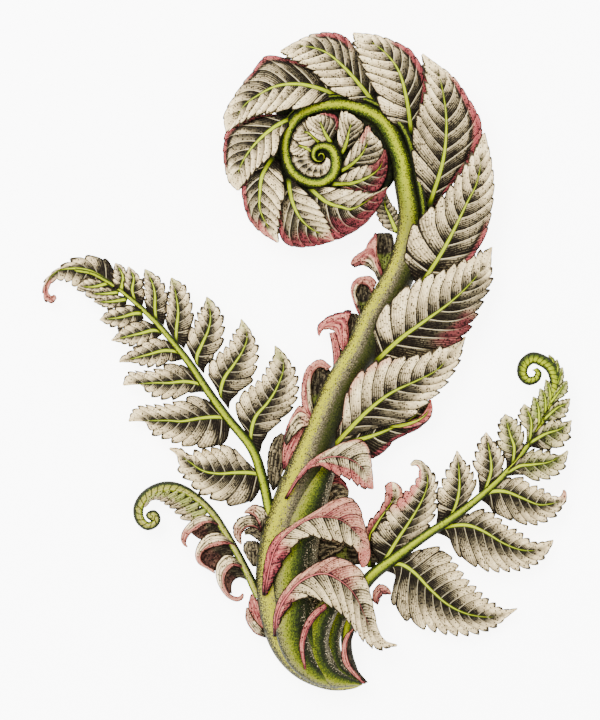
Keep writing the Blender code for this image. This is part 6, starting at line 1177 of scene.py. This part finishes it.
# Bracts
bracts = {
    "upper_bract": [
        outline("142.8,110.8 148,119.4 154.6,127 162,131.2 170.6,131.8 "
                "178.4,128.6 183.6,121.8 186.6,115.6",
                "142.2,110.8 146.8,119.4 152,126.6 158,132 165.4,136 173.6,139.8 "
                "181.2,140.2 184.6,135 186,125.4 187,115.8",
                "143.4,110.8 148.9,119 154.6,125.6 159.2,127.4 163.6,126 168.4,123.2 "
                "173,122.2 177,120 180.6,117.4 186.2,115.2",
                (17.6, 21, 25, 26.6, 24, 17), (17, 19.4, 20.8, 18, 16, 15.6),
                (18, 21.8, 24.2, 23.8, 21, 16.4), depth=1, arch=0.9),
    ],
    "upper_back_leaf": [
        outline("161.5,106 165.4,112.4 170,115.4 174.4,113.6",
                "160,113 164,121.6 168.4,122.4 172.6,118.6 174.8,114.2",
                "163.4,103.4 168.4,106.6 172,109.4 174.6,112.8",
                (9, 10.6, 10.6, 10), (8.6, 9, 9, 9.4), (8.6, 9, 9, 9.4), depth=0.4, arch=0.4, tint="edged"),
    ],
    "middle_bract": [
        outline("132.2,62.4 134.8,76.6 138.6,88 146.6,96.2 157.4,101.8 "
                "170.2,100.6 178.8,92.8 182.4,84 181.2,76.6",
                "130.8,62.6 132,78 136.4,90.4 147.3,98.8 157.4,104.6 166.5,110.2 174.4,111.5 "
                "179.4,107 182.6,96.4 185.2,86.7 184.9,80 182,76",
                "133.8,63 138.4,74 143.4,83.4 148.6,90 155.4,93 160.8,91.6 168.4,90.6 "
                "174.8,88.6 178.6,85 179.4,79.8 180.6,76.2",
                (17.8, 20.8, 24.6, 28.4, 28.6, 24, 18), (17, 19.2, 22, 21.4, 19, 17.6, 17.4),
                (18.6, 22.8, 25.4, 26.8, 25.4, 21.6, 17.4), depth=1.1, arch=0.9),
    ],
    "middle_back_leaf": [
        outline("157,85 163,86.6 169,86.8 173.6,88.6",
                "157,92.6 163,93.4 169,92.8 173.4,90",
                "157.4,78 163,81 169,83.6 173.6,87.4",
                (12.4, 14, 14, 13.4), (11.6, 12.4, 12.8, 13),
                (11.4, 12, 12.6, 13), depth=0.4, arch=0.5, tint="edged"),
        outline("160,80 168,82.6 178,82.4 192,80.6",
                "161,84 168,87.6 178,87.6 191,83.6",
                "162,75 169,77.6 180,77.6 191,78.6",
                (10.4, 11, 11, 11), (11, 11.4, 11.4, 11), (10.4, 10.8, 11, 11), arch=0, tint="dark"),
    ],
    "lower_bract": [
        outline("137.8,42 138.6,52 142.4,61 151,70.5 162,74 171.7,69.1 177.4,62.8 "
                "180.8,55.9 184.7,47.4 190,40.6 198.6,37.4",
                "136.4,42 136.6,52 139.6,61.5 146.4,70.8 154.4,76.8 161.2,80.4 167.9,82.1 177.4,78 "
                "182.3,72 185.4,62.4 187.4,53 189.4,44.6 193.6,39.4 198.8,38",
                "139.2,42.2 140.6,51 144.4,57.6 149.4,61.6 154.8,62.6 161.3,60.3 168.9,56 "
                "174.4,50.6 178.5,45 183.1,40.2 188.9,36.9 198.4,36.8",
                (18.4, 23.6, 28, 29.6, 27, 22.6, 18, 15), (17.2, 21.2, 24, 22.6, 19.6, 18, 16.6, 15),
                (20, 25.6, 27.8, 27.4, 24.4, 20, 17, 15), depth=1.3, arch=0.9),
    ],
    "lower_strip": [
        outline("152.7,26 151.4,33 151.3,40 153.6,47.6 157.6,53.6 163,58",
                "152.4,26 150.2,33 149.6,40 151.8,48.4 156.2,55 162.4,59.4",
                "153.2,26 152.6,33 152.8,39.6 155,46.4 158.8,52 163.8,56.4",
                (22.6, 25.4, 25.8, 25, 23.4), (22.6, 25.8, 26.2, 25.4, 23.6),
                (22, 24.6, 24.8, 24.2, 22.8), arch=0.2),
    ],
    "foot_blade": [
        outline("182.6,18.4 175.4,26.4 172.8,34.6 174,41.4 177.2,46",
                "180.8,18 171.9,27.6 170.6,35.2 172.4,42.4 176.8,46.4",
                "184.2,18.6 177.9,26.6 175.9,33.4 176,39.8 177.8,45.8",
                (10.4, 13, 14, 14.4, 14.6), (10.2, 12.4, 13.4, 14, 14.4),
                (9.8, 11.4, 12.2, 13, 14.2), arch=0.4),
    ],
    "side_curl": [
        outline("187.4,58.4 188.4,62.6 191,65.2 193.6,64.6 195.6,63",
                "186,59.6 186.8,64.6 190,67.7 193.8,66.4 195.9,63.6",
                "189,57.2 190,60.6 191.4,62.6 193.4,62.8 195.4,62.4",
                (9.7, 11.1, 11.3, 10.5, 9.5), (9.3, 9.7, 9.7, 9.3, 9.1),
                (9.3, 9.7, 9.7, 9.5, 9.1), depth=0.5, arch=0.5),
    ],
    "left_curl_upper": [
        outline("132,96 131.4,101 128.6,104.8 125,104.8 121.9,103.6",
                "130.2,94.6 129,98.4 127,101.8 124.2,103 121.9,103.2",
                "134.4,97 133.6,103.4 130,107 126,107.2 122.2,104.4",
                (10, 11.4, 12, 11, 10), (9.6, 10, 10, 9.8, 9.6),
                (9.6, 10.6, 10.8, 10, 9.6), depth=0.4, arch=0.4, tint="cream"),
    ],
    "left_curl_middle": [
        outline("131.4,95.4 127.6,98.8 123.4,98.8 119.8,96.4 118.7,92.4 120.6,87.6",
                "131,93.6 126.7,96.4 123.6,96.1 121.2,93.6 120.6,91.2 121,87.8",
                "132.6,97 130,99.4 126.7,101.7 123,102 119.3,100.4 117,97.3 "
                "116.6,93.6 118,89.9 120.4,87.3",
                (8.6, 10, 10.4, 10, 8.6), (8.4, 8.8, 8.8, 8.4, 8),
                (7.8, 8.6, 8.8, 8.4, 7.8), depth=0.4, arch=0.6, tint="cream"),
        outline("131.6,92 127,93.6 122,93.4",
                "131.4,95 126.6,97 121.8,94.6",
                "130.4,88.4 127.2,90.8 124.6,92.4 122.4,92.2",
                (7.2,), (7.6,), (7,), arch=0, tint="grey"),
    ],
    "left_grey_leaf": [
        outline("128,76.4 126.6,83 125.4,89",
                "126,76.6 121.8,84.4 122.8,88.6 125,89.6",
                "130,77 130,83.4 128.8,88.4 125.8,89.6",
                (6.6, 7.4, 7), (6, 6.4, 6.6), (6, 6.4, 6.6), depth=0.5, arch=0.4, tint="grey"),
    ],
    "left_pouch": [
        outline("135,42 131,47.6 127.6,55 125.8,63",
                "133.6,41.6 128.4,48 124.2,55.6 125.2,62.8",
                "136.4,42.4 133.4,48 130.6,56 127,63",
                (6, 7.4, 7.8, 7.6), (5.6, 6.4, 6.8, 7.4),
                (5.8, 7.6, 8, 7.8), depth=0.2, arch=0.4, tint="pink"),
        outline("134.6,40.8 128.8,44.6 125,49.6 123.6,56",
                "134,40.2 127.4,43 122.9,49.6 122.9,56.2",
                "135.2,41.4 130.6,46 126.6,51 123.9,56.4",
                (6, 8.6, 8.8, 7.6), (5.6, 6.4, 6.8, 7.4),
                (5.8, 8.6, 9.2, 7.8), depth=0.3, arch=0.5, tint="cream"),
    ],
    "stem_bract_1": [
        outline("192.4,219.6 188.6,226 186,231.4 182.4,232.4 178.4,230.4 175.4,228.4",
                "188.9,219.6 187.6,223 185.4,225.4 181.4,227.4 177.4,226.6 175.2,227.8",
                "193.2,221 191,225.6 189.8,229.6 188.4,234 188.4,243 "
                "185.2,240 182,235 177.2,231.8 175.2,229",
                (9, 11.6, 12.2, 11, 9), (8.4, 9.6, 9.6, 9, 8.6),
                (9, 10.6, 12, 10.6, 8.8), depth=0.4, arch=0.7, tint="rosy"),
        outline("191.4,224 191.8,230 192.4,237 192,243.4",
                "190.4,224 188.4,231 187.8,238 188.2,243 191.6,243.8",
                "192.6,225 195.4,231.4 197,238 195.8,243 192.4,243.8",
                (8,), (9.4,), (9.4,), depth=0.2, arch=0, tint="dark"),
    ],
    "stem_bract_2": [
        outline("180.7,202 178.4,208 176.6,214 179.2,219.4 184,220 187,217",
                "181.2,202.6 179.6,208 177.6,213 180,217.6 184,216.6 186,212.6",
                "180.2,201 177.4,207 175.3,215.4 178.2,220.8 185,222 189,218.6",
                (8, 10, 10.8, 11, 10.8, 9.4), (8, 9, 9.4, 9.6, 9.6, 9),
                (8, 8.8, 9, 9.4, 9.6, 9.2), depth=0.3, arch=0.7, tint="rosy"),
        outline("181.4,202 181.8,208 181.8,213 181.6,217.4",
                "180.6,202 177.6,208 176.2,213.6 179.4,219",
                "182.4,203.4 186.4,209.4 187.4,214 183.6,218.4",
                (7.4,), (8,), (8,), arch=0, tint="dark"),
    ],
    "stem_bract_3": [
        outline("172.6,183 172.4,191 171.4,199 167,199.6 162,197.4 159.2,192.4",
                "172,181.8 169.4,188 167.4,194 165.2,195.4 161.6,195 159.6,191.4",
                "173.6,184.4 174.6,191 174,199 175.6,204.4 169,203.4 164,201.6 159,197.4 158.6,193",
                (9, 11.4, 12, 12, 11.4, 9), (8.4, 9.6, 9.8, 9.6, 9.4, 8.8),
                (8.8, 10.4, 11, 10.8, 10, 8.8), depth=0.4, arch=0.6, tint="pink"),
        outline("167.4,173.6 168.2,181 167.4,188 165.4,193.4",
                "166.4,172.8 166.4,181 165.6,188 164.4,194",
                "169,175 170.6,182 169.4,189 167.6,194.6",
                (8.4, 9, 9.4, 9.4), (8, 8.4, 8.8, 9), (8, 8.4, 8.8, 9), arch=0.2, tint="pink"),
        outline("171.4,178 174.4,188 177.4,198 176.4,203.6",
                "168.6,176 170.4,186 173.4,196 174.4,203.8",
                "173.6,180 178.4,190 181.4,199 178.6,203.4",
                (8,), (8.4,), (8.4,), arch=0, tint="dark"),
    ],
    "stem_bract_4": [
        outline("159.5,146.8 154.6,155.4 153.2,164 154.4,173.4 159.4,177.8 164.6,175.8",
                "159.9,148 157.2,156 155.8,164 156.4,172.6 160,176.2 163.6,174.6",
                "158.8,145.8 152.4,153.6 150.6,163 152.2,173.6 156.4,178.8 161,180.2 166.4,176.4",
                (9, 10.8, 11, 11, 10.8, 9.4), (8.6, 9.4, 9.4, 9.6, 9.6, 9),
                (8, 8.8, 9, 9.4, 9.6, 9.2), depth=0.3, arch=0.7, tint="rosy"),
        outline("159,152 159.4,160 160.4,168 160.6,176",
                "157.8,152 155.4,160 154.4,168 156.6,176.6",
                "160.8,154 164.4,162 166.8,170 164,177",
                (7.4,), (8,), (8,), arch=0, tint="dark"),
    ],
    "stem_bract_5": [
        outline("142.6,138 146,145.4 150.4,149.4 159.4,146.6",
                "141.6,141 144.6,149.6 149.8,157 155,153.4 159.5,147.4",
                "143.6,137.4 147,142.4 151,146 155,147 159.2,145.8",
                (10, 11.8, 12, 10.6), (9, 9.6, 10, 10.2),
                (10.4, 11.6, 11.8, 10.4), depth=0.5, arch=0.5, tint="cream"),
        outline("141.9,124.8 143.4,131.4 146,138.4 152,149",
                "141,126 141,134 142.4,140.4 146.4,146.6",
                "143,124.6 146.4,131.4 149.6,138 152.6,145",
                (8.6, 9.4, 9.6, 9.6), (9, 9.8, 10, 9.8),
                (8.6, 9.2, 9.2, 9.2), depth=0.3, arch=0, tint="pink"),
    ],
    "stem_bract_6": [
        outline("137,114.6 137.4,124 138.4,133 141.2,142.6",
                "136,114.6 133.8,122 134,132 136.4,139.6 141,144",
                "139.4,117.4 142,126.4 143,134 142,143",
                (6, 7.4, 7.6, 7), (5.8, 6, 6, 6.4), (5.8, 6.4, 6.4, 6.4), depth=0.5, arch=0.3, tint="grey"),
    ],
}
bractTeeth = [0, 0.45, 0.65, 0.62, 0.82, 0.80, 1.0, 0.7]
pinkRib = dict(leafColours, rib="#a75250", ribEdge="#120808", flush="#7a3036")
bractLooks = {
    "upper_bract": {"blush": [upTo(0.42, 0.95), (-1, 2, -2, -0.5, 0.95), (0.3, 1, 0.86, 2, 0.8),
                              beyond(0.9, 0.9)],
                    "paintedShade": [(-1, 0.35, -2, -0.5, 0.6), (0.42, 0.8, -0.62, -0.4, 0.3), overAll(0.08)]},
    "middle_bract": {"blush": [(0.28, 2, 0.04, 2, 0.75), upTo(0.34, 1.0), beyond(0.86, 0.9)],
                     "paintedShade": [(-1, 0.34, -2, -0.55, 0.7), (-1, 0.34, 0.7, 2, 0.4), overAll(0.08)]},
    "lower_bract": {"blush": [(0.22, 0.62, 0.04, 2, 0.7), upTo(0.26, 0.9)],
                    "paintedShade": [(-1, 0.24, -2, -0.6, 0.6), (0.8, 0.95, -2, 2, 0.1), overAll(0.08)]},
    "lower_strip": {"blush": [overAll(0.95)], "paintedShade": [(-1, 2, -2, -0.3, 0.5)]},
    "foot_blade": {"blush": [(-1, 2, -0.2, 2, 0.9)], "paintedShade": [(-1, 2, -2, -0.1, 0.9)]},
    "side_curl": {"blush": [overAll(0.8)], "paintedShade": [(-1, 2, -2, -0.2, 0.5)]},
}
# How many millimetres one scallop takes on the three large bracts, and on the others
scallops = {"upper_bract": 6.5, "middle_bract": 7.5, "lower_bract": 7.5}
plainScallop = 4.0
bractSlots = {"upper_back_leaf": "shade", "middle_back_leaf": "shade", "left_grey_leaf": "shade",
              "stem_bract_6": "shade"}
# Tints of the small bract leaves; their dark patches are painted shade, and three of them darken the whole
# leaf with it, for leaves that lie in shade
tints = {
    "pink": {"blush": [overAll(0.95)], "paintedShade": [(-1, 2, -2, -0.75, 0.4), upTo(0.15, 0.4)]},
    "rosy": {"blush": [(-1, 2, -2, 0.1, 0.85), beyond(0.6, 0.8)],
             "paintedShade": [upTo(0.25, 0.4), (-1, 2, 0.6, 2, 0.5), overAll(0.1)]},
    "cream": {"blush": [beyond(0.6, 0.5), (-1, 2, 0.6, 2, 0.8)],
              "paintedShade": [upTo(0.3, 0.5), overAll(0.12)]},
    "dark": {"paintedShade": [overAll(0.7)], "flush": [upTo(0.42, 0.7)]},
    "grey": {"paintedShade": [overAll(0.5)]},
    "edged": {"paintedShade": [overAll(0.55)], "blush": [(0.3, 2, 0.5, 2, 0.9)]},
}
bractPlain = {"teeth": bractTeeth, "columns": 9, "slant": 0.6, "relief": 0.15, "thick": 0.5, "ribRise": 0.15,
              "room": 3.0, "bite": 0.8, "biteRight": 1.3}
scallopedLook = {"slant": 1.8, "bite": 0.25}


def buildBracts():
    skin = leafPaint("bract skin", 7.0, 0.0, True)
    ribbed = leafPaint("ridged bract skin", 5.0, 0.35, False, pinkRib, 0.6, 0.45)
    for node, leaves in bracts.items():
        scalloped = scallopedLook if node in scallops else {}
        body = bmesh.new()
        for leaf in leaves:
            lobes = max(4, int(round(Trace(leaf["mid"]).length / scallops.get(node, plainScallop))))
            painted = {**bractLooks.get(node, {}), **tints.get(leaf["tint"], {})}
            addBlade(body, leaf, {**bractPlain, **scalloped, **painted, "lobes": lobes})
        words = node.split("_")
        name = words[0] + "".join(word.capitalize() for word in words[1:]) + "Fine"
        finishPiece(body, name, ribbed if scalloped else skin, bractSlots.get(node, "bract"), node)


# Floor, light and camera
studio = {"reach": 2.4, "height": 0.36, "middle": (150.0, 180.0), "level": 0.012, "floorSize": 8.0,
          "drop": 0.0004, "floorGlow": 6.5, "skyGlow": 2.0, "filmWidth": 36.0}
lamps = {"key": {"at": (-0.9, 1.1, 1.8), "size": 1.4, "power": 118.0},
         "fill": {"at": (1.2, -0.6, 1.6), "size": 1.8, "power": 14.0}}


def buildStudio():
    scene = bpy.context.scene
    bpy.ops.mesh.primitive_plane_add(size=studio["floorSize"], location=(0, 0, -studio["drop"]))
    floor = bpy.context.object
    floor.name = "floor"
    paint = Paint("floor", 0.9)
    paint.shader.inputs["Base Color"].default_value = (0.95, 0.95, 0.95, 1)
    paint.shader.inputs["Emission Color"].default_value = (1, 1, 1, 1)
    paint.shader.inputs["Emission Strength"].default_value = studio["floorGlow"]
    floor.data.materials.append(paint.material)
    world = bpy.data.worlds.new("studio")
    scene.world = world
    world.use_nodes = True
    world.node_tree.nodes["Background"].inputs["Color"].default_value = (1, 1, 1, 1)
    world.node_tree.nodes["Background"].inputs["Strength"].default_value = studio["skyGlow"]
    for name, lamp in lamps.items():
        light = bpy.data.lights.new(name, "AREA")
        light.energy, light.size = lamp["power"], lamp["size"]
        holder = bpy.data.objects.new(name, light)
        x, y, z = lamp["at"]
        holder.location = lamp["at"]
        holder.rotation_euler = (math.atan2(math.hypot(x, y), z), 0, math.atan2(-y, -x) - math.pi / 2)
        scene.collection.objects.link(holder)
    camera = bpy.data.cameras.new("camera")
    camera.sensor_width = studio["filmWidth"]
    camera.lens = studio["filmWidth"] * studio["reach"] / studio["height"]
    eye = bpy.data.objects.new("camera", camera)
    x, y = [(a - b) / 1000 for a, b in zip(studio["middle"], planCentre)]
    eye.location = (x, y, studio["level"] + studio["reach"])
    scene.collection.objects.link(eye)
    scene.camera = eye
    print("floor, light and camera placed")


buildStem()
buildCrown()
buildStemLeaves()
buildLeft()
buildRight()
buildYoung()
buildBracts()
buildStudio()
